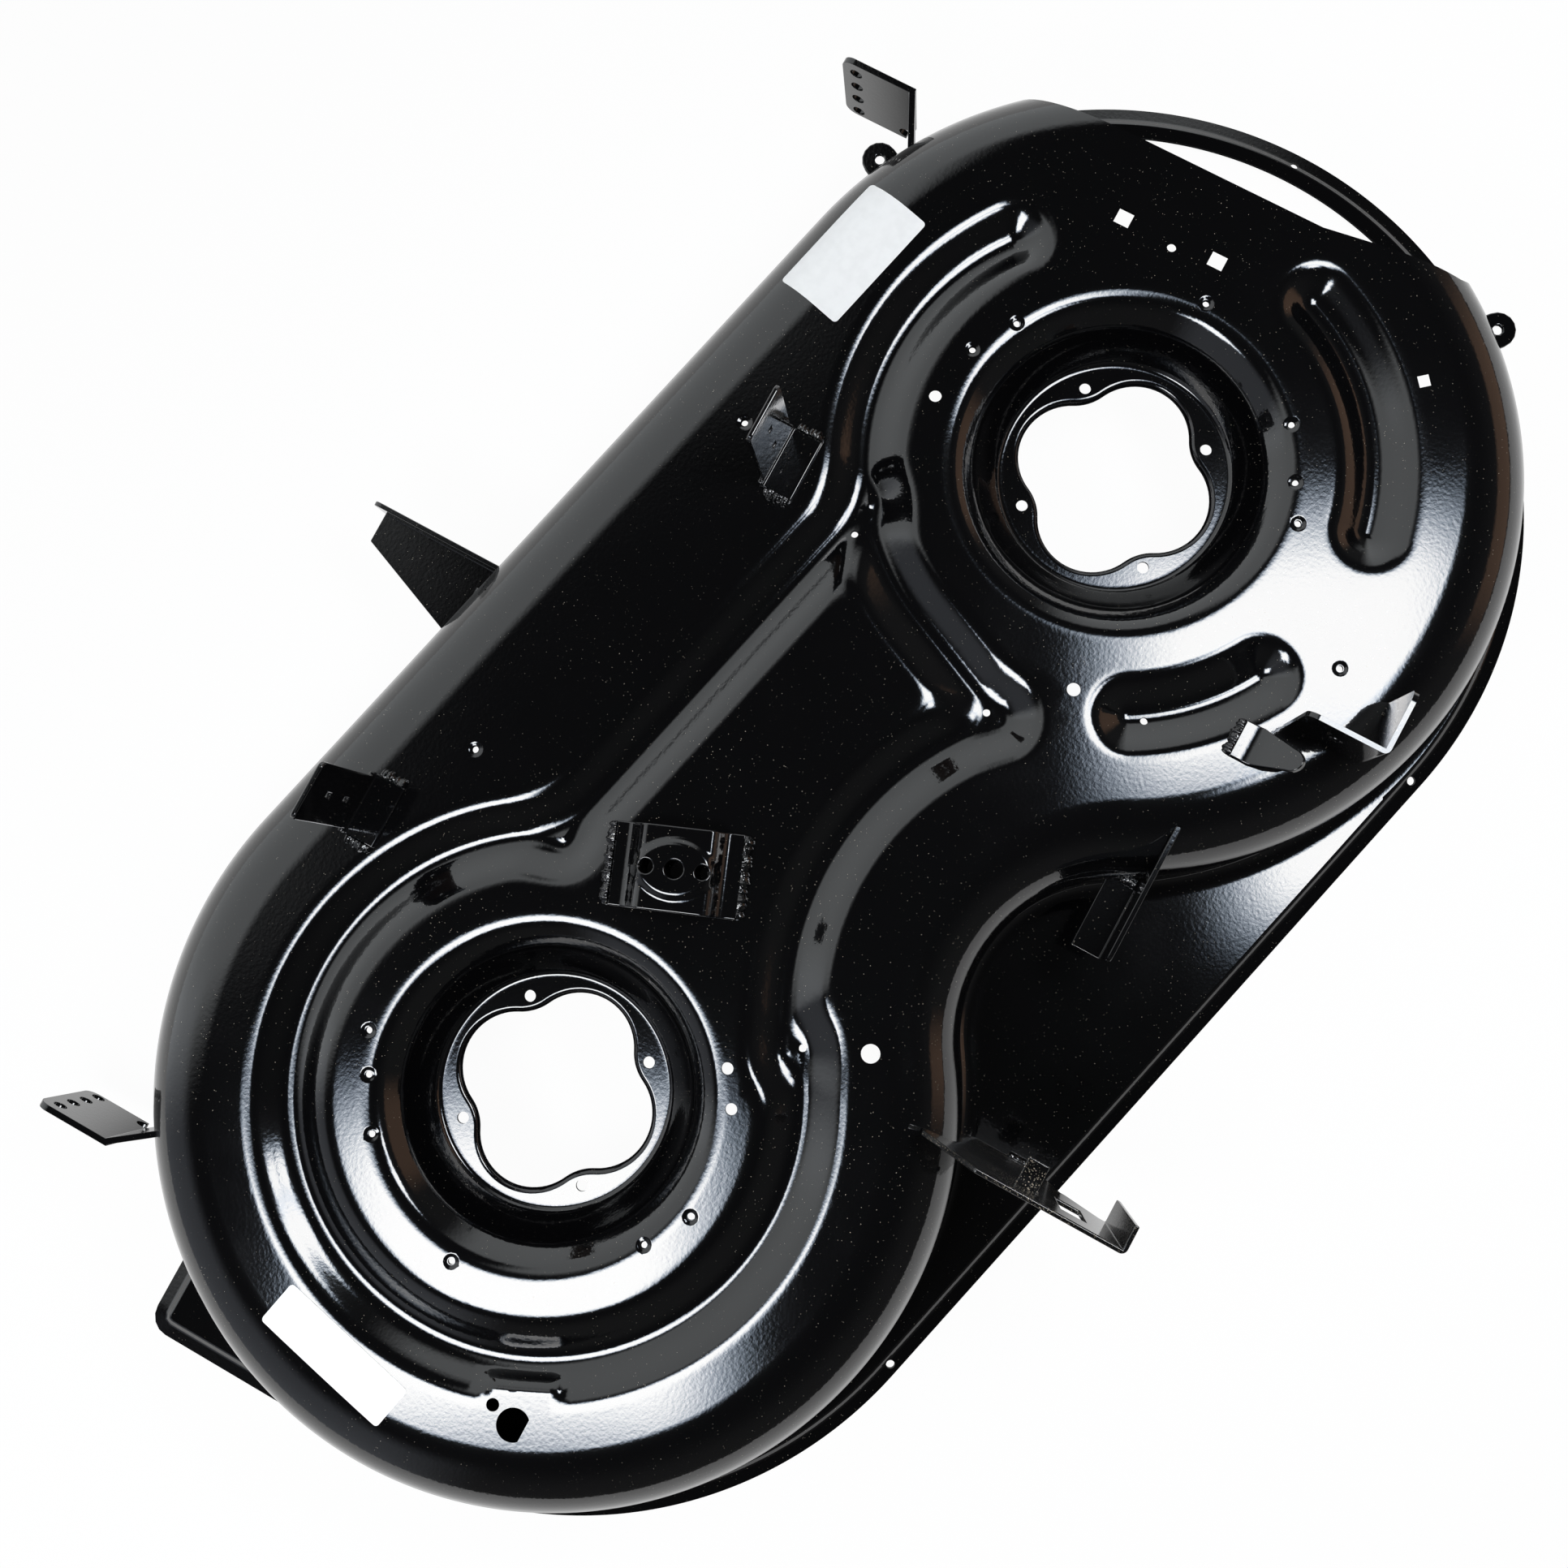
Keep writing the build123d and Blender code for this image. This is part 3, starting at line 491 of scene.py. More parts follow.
@dataclass
class DeckShell:
    """The pressed shell, drawn along the spindle line and turned into the deck frame."""

    sheet: float = 2.5
    top_z: float = 40.0
    shoulder_r: float = 40.0
    shoulder_run: float = 46.0
    wall_r: float = 250.0
    waist_r: float = 100.0
    spindle_gap: float = 515.0
    spindle_skew: float = 13.9
    panel_z: float = -75.0
    rim_reach: float = 28.0
    front_reach: float = 22.0
    lip_width: float = 12.5
    lip_step: float = 5.0
    lip_drop: float = 5.0
    lip_fall: float = 2.5
    foot_r: float = 8.0
    foot_run: float = 15.0
    ear_front: float = 175.0
    ear_corner_r: float = 14.0
    groove_r: float = 154.5
    groove_step: float = 5.5
    groove_rows: tuple[float, ...] = (1.5, 3.0, 4.5, 6.0, 7.5, 9.0, 10.5, 13.0, 15.5, 17.5, 19.0, 20.5, 22.0,
                                      23.5, 25.0, 27.0, 29.0, 31.0)
    left_groove_end: float = 322.2
    right_groove: Point = (66.6, 170.0)
    tail_heading: float = 260.0
    tail_length: float = 70.0
    front_link_v: float = 98.0
    waist_link_v: float = -212.0
    waist_link_r: float = 185.0
    waist_link: Point = (60.5, 139.2)
    lone_grooves: tuple[Point, ...] = ((223.7, 253.9), (296.0, 351.6))
    dish_columns: int = 128
    dish_rows: tuple[float, float, float] = (67.0, 117.0, 1.5)
    seat_row: float = 64.0
    aperture_long_r: float = 63.0
    aperture_short_r: float = 51.0
    aperture_waist_r: float = 30.0
    aperture_roll: float = 3.5
    aperture_skirt: float = 1.5
    bolt_circle_r: float = 60.0
    bolt_hole_r: float = 3.7
    chute_face: float = 185.0
    chute_bend: float = -41.0
    chute_flare: float = 201.0
    chute_rear: float = -139.0
    chute_corner_r: float = 14.0
    chute_reach: float = 330.0
    hoop_inset: float = 6.5
    pad_angle: float = 205.0
    pad_inner_r: float = 166.0
    pad_half: float = 23.0
    pad_ease: float = 12.0
    gauge_angle: float = 55.0
    slot_half: float = 16.5
    slot_bottom: float = 2.0
    slot_top: float = 8.0
    flat_step: float = 11.0
    skirt_step: float = 6.5
    rim_step: float = 5.0
    panel_step: float = 14.0
    lip_rows: tuple[float, ...] = (3.0, 6.0, 7.2, 7.9, 8.6, 9.3, 10.0, 10.7, 11.4, 12.1, 13.0, 15.0, 19.0)
    groove: Section = Section((0.0, 4.0, 22.0), (12.6, 12.6, 0.0), 8.5)
    dish_mouth: Section = Section((0.0, 83.5, 99.5), (20.0, 20.0, 0.0), 13.0)
    dish_seat: Section = Section((0.0, 72.0, 88.0), (20.0, 20.0, 0.0), 3.0)
    corner_blend: float = 20.0
    plain_holes: tuple[tuple[float, float, float], ...] = (
        (115.4, -159.4, 5.8), (363.3, -163.6, 4.2), (483.6, -5.5, 3.9), (67.1, -89.1, 3.7),
        (47.4, -102.6, 3.6), (632.0, -89.4, 2.9), (-169.4, -61.9, 3.9),
        (327.9, -124.0, 2.3), (387.2, -1.1, 2.3), (98.0, -122.3, 2.3), (367.9, -209.7, 2.3),
    )
    pilot_holes: tuple[Point, ...] = (
        (-16.7, 111.1), (-39.6, 98.2), (-69.1, 79.2), (-110.2, 0.3), (-46.4, -95.1), (-18.8, -111.5),
        (567.3, -203.7), (536.6, -221.9), (519.6, -11.9), (546.8, -28.1), (610.4, -124.1),
        (514.9, -234.8), (448.3, -296.4), (160.9, 137.8), (414.8, 89.9),
    )
    pilot_r: float = 2.1
    dimple_r: float = 5.2
    dimple_depth: float = 0.9
    square_holes: tuple[tuple[float, float, float, float], ...] = (
        (635.4, -55.0, 10.0, 0.0), (637.2, -117.8, 10.0, 0.0), (627.7, -261.4, 7.7, 40.0),
    )
    keyed_hole: Point = (-173.6, -78.0)
    keyed_r: float = 10.0
    keyed_flat: float = 7.0
    rim_holes: tuple[Point, ...] = ((432.0, -386.5), (-61.0, -265.3), (769.0, -129.4))
    rim_hole_r: float = 2.8

    def __post_init__(self) -> None:
        """Work out the waist, the grooves' centre lines and the seats from the sizes."""
        turn = math.radians(self.spindle_skew)
        self.cos, self.sin = math.cos(turn), math.sin(turn)
        half = self.spindle_gap / 2
        self.waist_v = -math.sqrt((self.wall_r + self.waist_r) ** 2 - half ** 2)
        self.waist_turn = math.degrees(math.atan2(-self.waist_v, half))
        link_u = math.sqrt(self.groove_r ** 2 - self.front_link_v ** 2)
        right = (self.spindle_gap, 0.0)
        link_angle = math.degrees(math.atan2(self.front_link_v, link_u))
        run_from = polar(right, self.groove_r, self.right_groove[1])
        run_to = polar(tuple(run_from), self.tail_length, self.tail_heading)
        self.joined = [
            [Arc((0.0, 0.0), self.groove_r, link_angle, self.left_groove_end)],
            [Run((link_u, self.front_link_v), (self.spindle_gap - link_u, self.front_link_v))],
            [Arc(right, self.groove_r, *self.right_groove), Run(tuple(run_from), tuple(run_to))],
            [Arc((half, self.waist_link_v), self.waist_link_r, *self.waist_link)],
        ]
        self.lone = [Arc(right, self.groove_r, *turns) for turns in self.lone_grooves]
        self.spindles = {Side.LEFT: (0.0, 0.0), Side.RIGHT: right}

    def to_press(self, deck: Array) -> Array:
        """Turn points from the deck frame into the pressing frame.

        Args:
            deck: Plan points in the deck frame.

        Returns:
            The same points in the pressing frame.
        """
        deck = np.asarray(deck, float)
        return np.stack([deck[..., 0] * self.cos - deck[..., 1] * self.sin,
                         deck[..., 0] * self.sin + deck[..., 1] * self.cos], axis=-1)

    def to_deck(self, press: Array) -> Array:
        """Turn points or normals from the pressing frame into the deck frame, keeping z.

        Args:
            press: Rows of two or three numbers in the pressing frame.

        Returns:
            The rows in the deck frame.
        """
        flat = [press[..., 0] * self.cos + press[..., 1] * self.sin,
                press[..., 1] * self.cos - press[..., 0] * self.sin]
        return np.stack(flat + [press[..., i] for i in range(2, press.shape[-1])], axis=-1)

    def depth(self, plan: Array) -> Array:
        """Give how deep the pressing lies below the top.

        Each chain of grooves that run smoothly into each other gives its least distance. The chains'
        distances are blended by a soft minimum, so that their meeting corners come out rounded, and
        the groove section is read at that distance. Dishes and dimples are read at the distance from
        their own centres and added. The pad fills its share of the groove.

        Args:
            plan: Points in the pressing frame.

        Returns:
            One depth for each point.
        """
        blend = self.corner_blend
        chains = [np.min([path.distance(plan) for path in chain], axis=0) for chain in self.joined]
        near = chains[0]
        for other in chains[1:]:
            overlap = np.clip(blend - np.abs(near - other), 0.0, None) / blend
            near = np.minimum(near, other) - overlap ** 2 * blend / 4.0
        depth = self.groove.at(near)
        for path in self.lone:
            depth = np.maximum(depth, self.groove.at(path.distance(plan)))
        turn = math.radians(self.pad_angle + self.spindle_skew)
        out = plan[:, 0] * math.cos(turn) + plan[:, 1] * math.sin(turn)
        beside = np.abs(plan[:, 1] * math.cos(turn) - plan[:, 0] * math.sin(turn))
        ends = smooth_step((out - self.pad_inner_r) / self.pad_ease + 0.5)
        sides = smooth_step((self.pad_half - beside) / self.pad_ease + 0.5)
        depth *= 1.0 - ends * sides
        for centre in self.spindles.values():
            reach = np.linalg.norm(plan - np.asarray(centre), axis=1)
            depth += self.dish_mouth.at(reach) + self.dish_seat.at(reach)
        for at in self.to_press(np.array(self.pilot_holes)):
            gap = np.linalg.norm(plan - at, axis=1)
            depth += self.dimple_depth * smooth_step((self.dimple_r - gap) / (self.dimple_r - self.pilot_r))
        return depth

    def pressed(self, plan: Array) -> tuple[Array, Array]:
        """Lift plan points onto the pressed top, and give them with their normals."""
        return lifted(lambda at: self.top_z - self.depth(at), plan)

    def skin(self, plan: Array, lift: float) -> tuple[Array, Array]:
        """Lay plan points on the top and the shoulder.

        The height falls along the shoulder's quarter ellipse by how far a point lies past the
        shoulder's inner edge, on the straight front or about the nearer spindle.

        Args:
            plan: Points in the pressing frame.
            lift: How far the points are raised along the normals.

        Returns:
            The points and their unit normals.
        """
        near_right = plan[:, 0] > self.spindle_gap / 2
        centre = np.column_stack([np.clip(plan[:, 0], 0.0, self.spindle_gap), 0 * plan[:, 0]])
        middle = (plan[:, 1] < 0.0) & (plan[:, 0] > 0.0) & (plan[:, 0] < self.spindle_gap)
        centre[middle, 0] = np.where(near_right, self.spindle_gap, 0.0)[middle]
        rel = plan - centre
        reach = np.linalg.norm(rel, axis=1)
        past = np.clip(reach - self.wall_r + self.shoulder_run, 0.0, self.shoulder_run) / self.shoulder_run
        rise = np.sqrt(1.0 - past ** 2)
        out = rel / np.maximum(reach, 1e-9)[:, None]
        normals = unit(np.column_stack([out * past[:, None] / self.shoulder_run, rise / self.shoulder_r]))
        points = np.column_stack([plan, self.top_z - self.shoulder_r * (1.0 - rise)])
        return points + lift * normals, normals

    def chute_line(self) -> Array:
        """Give the discharge cut from its bend rearwards, round its corner and outwards, in deck axes.

        Returns:
            Points along the cut, about the right spindle.
        """
        bend = np.array([self.chute_face, self.chute_bend])
        corner = np.array([self.chute_flare, self.chute_rear])
        down = (corner - bend) / np.linalg.norm(corner - bend)
        turn = math.acos(down[0])
        back = self.chute_corner_r * math.tan(turn / 2)
        begin = corner - down * back
        centre = begin + self.chute_corner_r * np.array([-down[1], down[0]])
        start = math.degrees(math.atan2(down[0], -down[1])) + 180.0
        arc = polar(tuple(centre), self.chute_corner_r, np.linspace(start - 360.0 * (start > 360), 270.0, 9))
        side = bend + np.linspace(0.0, 1.0, 20)[:-1, None] * (begin - bend)
        reach = np.linspace(arc[-1, 0], self.chute_reach, 20)[1:]
        return np.concatenate([side, arc, np.column_stack([reach, np.full(19, self.chute_rear)])])

    def cut_angles(self, radius: Array) -> tuple[Array, Array]:
        """Give the pressing angles where circles about the right spindle meet the discharge cut.

        Args:
            radius: The circles' radii.

        Returns:
            The angles at the front cut and at the rear cut.
        """
        front = np.degrees(np.arccos(self.chute_face / radius)) + self.spindle_skew
        line = self.chute_line()
        reach = np.hypot(line[:, 0], line[:, 1])
        turn = np.degrees(np.arctan2(line[:, 1], line[:, 0]))
        rear = np.interp(radius, reach, turn) + 360.0 + self.spindle_skew
        return front, rear

    def skirt_profile(self) -> tuple[Array, Array, Array, Array]:
        """Give the wall's profile from the top edge down: a quarter ellipse, the wall and the foot's bend.

        Returns:
            Outward growth, height, and the normal's outward and upward parts, row by row.
        """
        slot = np.arcsin(np.array([self.slot_top, self.slot_bottom]) / self.shoulder_r)
        turn = np.concatenate([np.radians(np.linspace(90.0, 18.0, 13)), slot, [0.0]])
        low = self.top_z - self.shoulder_r
        foot_z = self.panel_z + self.foot_r
        wall = np.linspace(low, foot_z, 5)[1:]
        bend = np.radians(np.linspace(0.0, 90.0, 7)[1:])
        grow = np.concatenate([self.shoulder_run * (np.cos(turn) - 1.0), 0 * wall,
                               self.foot_r * (1.0 - np.cos(bend))])
        z = np.concatenate([low + self.shoulder_r * np.sin(turn), wall, foot_z - self.foot_r * np.sin(bend)])
        lean = np.arctan2(np.sin(turn) / self.shoulder_r, np.cos(turn) / self.shoulder_run)
        out = np.concatenate([np.cos(lean), 0 * wall + 1.0, np.cos(bend)])
        up = np.concatenate([np.sin(lean), 0 * wall, np.sin(bend)])
        return grow, z, out, up

    def skirt(self, sheet: Sheet) -> Array:
        """Build the wall and shoulder as a grid: the profile carried along the wall's plan.

        The foot's bend is stretched outwards where the wall faces the rear, over the wide panel.

        Args:
            sheet: The sheet that takes the grid.

        Returns:
            The point indexes by row, top edge first, and column, front cut first.
        """
        step = self.skirt_step
        grow, z, out, up = self.skirt_profile()
        rows = len(grow)
        reach = self.wall_r + grow
        front, rear = self.cut_angles(reach)
        gap, half = self.spindle_gap, self.spindle_gap / 2
        plan, turned = [], []

        def along_arc(centre: Point, radius: Array, first: Array, last: Array, sign: float) -> None:
            """Add columns along an arc whose radius and ends may differ by row.

            Args:
                centre: The arc's centre.
                radius: One radius for each row.
                first: One start for each row, in degrees.
                last: One end for each row, in degrees.
                sign: Minus one where the wall faces the centre.
            """
            n = spaced(float(np.radians(np.abs(last - first)).max() * radius.max()), step)
            turns = first[:, None] + (last - first)[:, None] * np.linspace(0.0, 1.0, n + 1)
            plan.append(polar(centre, radius[:, None] + 0 * turns, turns))
            turned.append(sign * polar((0.0, 0.0), 1.0, turns))

        level = np.ones(rows)
        along_arc((gap, 0.0), reach, front, 90.0 * level, 1.0)
        n = spaced(gap, step)
        u = np.linspace(gap, 0.0, n + 1)
        plan.append(np.stack([u + 0 * reach[:, None], reach[:, None] + 0 * u], axis=-1))
        turned.append(np.broadcast_to([0.0, 1.0], (rows, n + 1, 2)))
        along_arc((0.0, 0.0), reach, 90.0 * level, (360.0 - self.waist_turn) * level, 1.0)
        along_arc((half, self.waist_v), self.waist_r - grow, (180.0 - self.waist_turn) * level,
                  self.waist_turn * level, -1.0)
        along_arc((gap, 0.0), reach, (180.0 + self.waist_turn) * level, rear, 1.0)
        plan = np.concatenate([plan[0]] + [p[:, 1:] for p in plan[1:]], axis=1)
        turned = np.concatenate([turned[0]] + [t[:, 1:] for t in turned[1:]], axis=1)
        columns = plan.shape[1]
        rearward = smooth_step(0.5 - 2.0 * turned[..., 1:])
        rearward = rearward * smooth_step(np.arange(columns)[::-1, None] / 12.0)
        stretch = 1.0 + (self.foot_run / self.foot_r - 1.0) * rearward * (grow > 0.0)[:, None, None]
        plan = plan + turned * (stretch - 1.0) * grow[:, None, None]
        height = np.broadcast_to(z[:, None, None], (rows, columns, 1))
        normal = np.concatenate([turned * out[:, None, None] / stretch,
                                 np.broadcast_to(up[:, None, None], (rows, columns, 1))], axis=2)
        normal = unit(normal)
        points = np.concatenate([plan, height], axis=2)
        index = sheet.add(points.reshape(-1, 3), normal.reshape(-1, 3)).reshape(rows, columns)
        middle = (plan[:-1, :-1] + plan[1:, 1:]) / 2
        level_z = (z[:-1] + z[1:]) / 2
        in_slot = (level_z > self.slot_bottom) & (level_z < self.slot_top)
        keep = np.ones((rows - 1, columns - 1), bool)
        for side, angle in ((Side.RIGHT, self.gauge_angle), (Side.LEFT, 180.0 - self.gauge_angle)):
            turn = math.radians(angle + self.spindle_skew)
            rel = middle - np.asarray(self.spindles[side])
            forward = rel[..., 0] * math.cos(turn) + rel[..., 1] * math.sin(turn)
            beside = np.abs(rel[..., 1] * math.cos(turn) - rel[..., 0] * math.sin(turn))
            keep &= ~(in_slot[:, None] & (beside < self.slot_half) & (forward > 0.0))
        sheet.grid(index, keep)
        return index

    def aperture(self, grow: float) -> Array:
        """Give the four-lobed spindle aperture about its own centre, in deck axes.

        Four lobes lie on the deck axes and four hollow necks between them, as arcs that run into
        each other without a corner.

        Args:
            grow: How far the outline is moved outwards.

        Returns:
            The closed outline, anticlockwise.
        """
        far = self.aperture_short_r + self.aperture_waist_r
        reach = self.aperture_long_r + self.aperture_waist_r
        near = (reach ** 2 - far ** 2) / (2 * reach - 2 * far * math.cos(math.radians(45.0)))
        side = far * math.sin(math.radians(45.0))
        spread = math.degrees(math.atan2(side, side - near))
        parts = []
        for axis in (0.0, 90.0, 180.0, 270.0):
            lobe = polar((0.0, 0.0), near, axis)
            neck = polar((0.0, 0.0), far, axis + 45.0)
            turns = np.linspace(axis - spread, axis + spread, 25)[:-1]
            parts.append(polar(tuple(lobe), self.aperture_long_r - near + grow, turns))
            turns = np.linspace(axis + spread + 180.0, axis + 270.0 - spread, 13)[:-1]
            parts.append(polar(tuple(neck), self.aperture_waist_r - grow, turns))
        return np.concatenate(parts)

    def rolled_edge(self, sheet: Sheet, side: Side) -> Array:
        """Build an aperture's rolled edge: a quarter round carried along the outline, then a short drop.

        Args:
            sheet: The sheet that takes the grid.
            side: Which spindle's aperture.

        Returns:
            The point indexes along the outer edge of the roll.
        """
        outline = self.aperture(0.0)
        out = outward(outline)
        turn = np.radians(np.array([90.0, 72.0, 54.0, 36.0, 18.0, 0.0, 0.0]))
        drop = np.array([0.0] * 6 + [self.aperture_skirt])
        reach = self.aperture_roll * (1.0 - np.cos(turn))
        z = self.aperture_roll * (np.sin(turn) - 1.0) - drop
        plan = outline[None] + reach[:, None, None] * out[None]
        plan = self.to_press(plan) + np.asarray(self.spindles[side])
        points = np.concatenate([plan, np.broadcast_to(z[:, None, None], plan.shape[:2] + (1,))], axis=2)
        lean = self.to_press(-out)[None] * np.cos(turn)[:, None, None]
        rise = np.broadcast_to(np.sin(turn)[:, None, None], plan.shape[:2] + (1,))
        normals = np.concatenate([lean, rise], axis=2)
        index = sheet.add(points.reshape(-1, 3), normals.reshape(-1, 3)).reshape(plan.shape[:2])
        sheet.grid(np.concatenate([index, index[:, :1]], axis=1))
        return index[0]

    def hole_loops(self) -> list[Array]:
        """Give the outlines of all plain, square and keyed holes in the top, in the pressing frame.

        Returns:
            One closed outline for each hole.
        """
        ring = np.linspace(0.0, 360.0, 25)[:-1]
        loops = []
        for x, y, radius in self.plain_holes:
            loops.append(polar((x, y), radius, ring))
        for x, y in self.pilot_holes:
            loops.append(polar((x, y), self.pilot_r, ring[::2]))
        for x, y, size, turn in self.square_holes:
            square = polar((x, y), size / math.sqrt(2.0), 45.0 + turn + np.arange(4) * 90.0)
            share = np.linspace(0.0, 1.0, 4)[:-1, None]
            sides = [a + share * (b - a) for a, b in zip(square, np.roll(square, -1, axis=0))]
            loops.append(np.concatenate(sides))
        cut = math.degrees(math.asin(self.keyed_flat / self.keyed_r))
        loops.append(polar(self.keyed_hole, self.keyed_r, np.linspace(-cut, 180.0 + cut, 40)))
        loops = [self.to_press(loop) for loop in loops]
        for centre in self.spindles.values():
            for turn in (45.0, 135.0, 225.0, 315.0):
                at = np.asarray(centre) + self.to_press(polar((0.0, 0.0), self.bolt_circle_r, turn))
                loops.append(polar(tuple(at), self.bolt_hole_r, ring))
        return loops

    def top(self, sheet: Sheet, edge: Array) -> None:
        """Build the pressed top inside the shoulder: rows that follow each pressed form, and a loose grid.

        Args:
            sheet: The sheet that takes the top.
            edge: Sheet indexes along the shoulder's top edge.
        """
        right = np.asarray(self.spindles[Side.RIGHT])
        rim = np.concatenate(sheet.points)[edge][:, :2]
        line = self.chute_line()
        line = line[np.hypot(line[:, 0], line[:, 1]) < self.wall_r - self.shoulder_run - 1.0][::-1]
        ends = self.to_deck(np.stack([rim[-1] - right, rim[0] - right]))
        face = np.linspace(self.chute_bend, ends[1, 1], 32)[1:-1]
        line = np.concatenate([line, np.column_stack([np.full(30, self.chute_face), face])])
        cut = self.to_press(line) + right
        cut_at = sheet.add(*self.pressed(cut))
        loops = [(np.concatenate([rim, cut]), np.concatenate([edge, cut_at]))]
        for side, centre in self.spindles.items():
            roll = self.rolled_edge(sheet, side)
            loops.append((np.concatenate(sheet.points)[roll][:, :2], roll))
        for hole in self.hole_loops():
            loops.append((hole, sheet.add(*self.pressed(hole))))
        rows = np.array(self.groove_rows)
        rows = np.concatenate([-rows[::-1], [0.0], rows])
        paths = [path for chain in self.joined for path in chain] + self.lone
        extra = [path.rows(rows, self.groove_step) for path in paths]
        radii = np.concatenate([[self.seat_row], np.arange(*self.dish_rows)])
        turns = np.linspace(0.0, 360.0, self.dish_columns + 1)[:-1]
        for centre in self.spindles.values():
            extra.append(polar(centre, radii[:, None] + 0 * turns, turns + 0 * radii[:, None]).reshape(-1, 2))
        ring = np.linspace(0.0, 360.0, 17)[:-1]
        for at in self.to_press(np.array(self.pilot_holes)):
            for radius in (2.9, 3.7, 4.5, 5.3):
                extra.append(polar(tuple(at), radius, ring))
        low, high = rim.min(axis=0), rim.max(axis=0)
        loose = plan_grid(*(np.arange(a, b, self.flat_step) for a, b in zip(low, high)))
        busy = self.depth(loose) > 0.02
        extra.append(loose[~busy])
        extra = np.concatenate(extra)
        extra = extra[inside(loops[0][0], extra)]
        extra = extra[distance_to_loop(loops[0][0], extra) > 1.5]
        for loop, _ in loops[1:]:
            reach = np.linalg.norm(extra - loop.mean(axis=0), axis=1)
            near = np.flatnonzero(reach < 75.0)
            gap = distance_to_loop(loop, extra[near])
            drop = near[(gap < 0.6) | inside(loop, extra[near])]
            extra = np.delete(extra, drop, axis=0)
        sheet.fill(loops, extra, sheet.add(*self.pressed(extra)))

    def rim_outline(self, grow: float) -> Array:
        """Give the rim's plan in the pressing frame, with the square ear at the front left.

        Args:
            grow: How far the outline is moved outwards.

        Returns:
            The closed outline.
        """
        step = self.rim_step
        radius = self.wall_r + self.rim_reach + grow
        front = self.wall_r + self.front_reach + grow
        ear = self.ear_front + grow
        corner_r = max(self.ear_corner_r + grow, 3.0)
        chord = math.degrees(math.acos(front / radius))
        lean = math.degrees(math.asin(ear / radius))
        gap, skew = self.spindle_gap, self.spindle_skew

        def arc(centre: Point, reach: float, start: float, sweep: float) -> Array:
            """Give an arc's points without the last one."""
            n = spaced(math.radians(sweep) * reach, step)
            return polar(centre, reach, np.linspace(start, start + sweep, n + 1)[:-1])

        def line(a: Array, b: Array) -> Array:
            """Give a line's points without the last one.

            Args:
                a: Where the line starts.
                b: Where it ends.

            Returns:
                The points as rows of two numbers.
            """
            a, b = np.asarray(a, float), np.asarray(b, float)
            n = spaced(float(np.linalg.norm(b - a)), step)
            return a + np.linspace(0.0, 1.0, n + 1)[:-1, None] * (b - a)

        start = polar((0.0, 0.0), radius, 90.0 + chord)
        side = self.to_press(line((-radius, 0.0), (-radius, ear - corner_r)))
        corner = self.to_press(arc((corner_r - radius, ear - corner_r), corner_r, 180.0, -90.0))
        over = self.to_press(line((corner_r - radius, ear), (-radius * math.cos(math.radians(lean)), ear)))
        return np.concatenate([
            line(start, (gap - start[0], front)),
            arc((gap, 0.0), radius, 90.0 - chord, -(180.0 - chord)),
            line((gap, -radius), (0.0, -radius)),
            arc((0.0, 0.0), radius, -90.0, -(90.0 - skew)),
            side, corner, over,
            arc((0.0, 0.0), radius, 180.0 - lean + skew, -(90.0 - lean + skew - chord)),
        ])

    def rim_height(self, plan: Array, outer: Array) -> Array:
        """Give the rim's height: the panel, less an eased step and an even fall to the lip's edge.

        Args:
            plan: Points in the pressing frame.
            outer: The rim's outline.

        Returns:
            One height for each point.
        """
        gap = distance_to_loop(outer, plan)
        step = 1.0 - smooth_step((gap - self.lip_width + self.lip_step) / self.lip_step)
        fall = 1.0 - np.clip(gap / self.lip_width, 0.0, 1.0)
        return self.panel_z - (self.lip_drop - self.lip_fall) * step - self.lip_fall * fall

    def clear_of(self, loops: list[tuple[Array, Array]], plan: Array, gap: float = 0.8) -> Array:
        """Tell which points lie in the first loop and outside the others, clear of their sides by a gap.

        Args:
            loops: Plan outline and sheet indexes of each loop, the outer one first.
            plan: The points to test.
            gap: The clearance to the inner loops.

        Returns:
            One truth value for each point.
        """
        clear = inside(loops[0][0], plan)
        for loop, _ in loops[1:]:
            clear &= ~inside(loop, plan) & (distance_to_loop(loop, plan) > gap)
        return clear

    def rim(self, sheet: Sheet, foot: Array) -> None:
        """Build the rim: panel, stepped lip, and the hoop across the discharge opening.

        Args:
            sheet: The sheet that takes the rim.
            foot: Sheet indexes along the wall's foot.
        """
        right = self.spindles[Side.RIGHT]
        outer = self.rim_outline(0.0)
        inner = np.concatenate(sheet.points)[foot][:, :2]
        hoop_r = self.wall_r + self.hoop_inset
        front, rear = self.cut_angles(np.array([hoop_r]))
        n = spaced(math.radians(front[0] + 360.0 - rear[0]) * hoop_r, self.rim_step)
        hoop = polar(right, hoop_r, np.linspace(rear[0], front[0] + 360.0, n + 1))

        def raised(plan: Array) -> tuple[Array, Array]:
            """Lift plan points onto the rim, and give them with their normals."""
            return lifted(lambda at: self.rim_height(at, outer), plan)

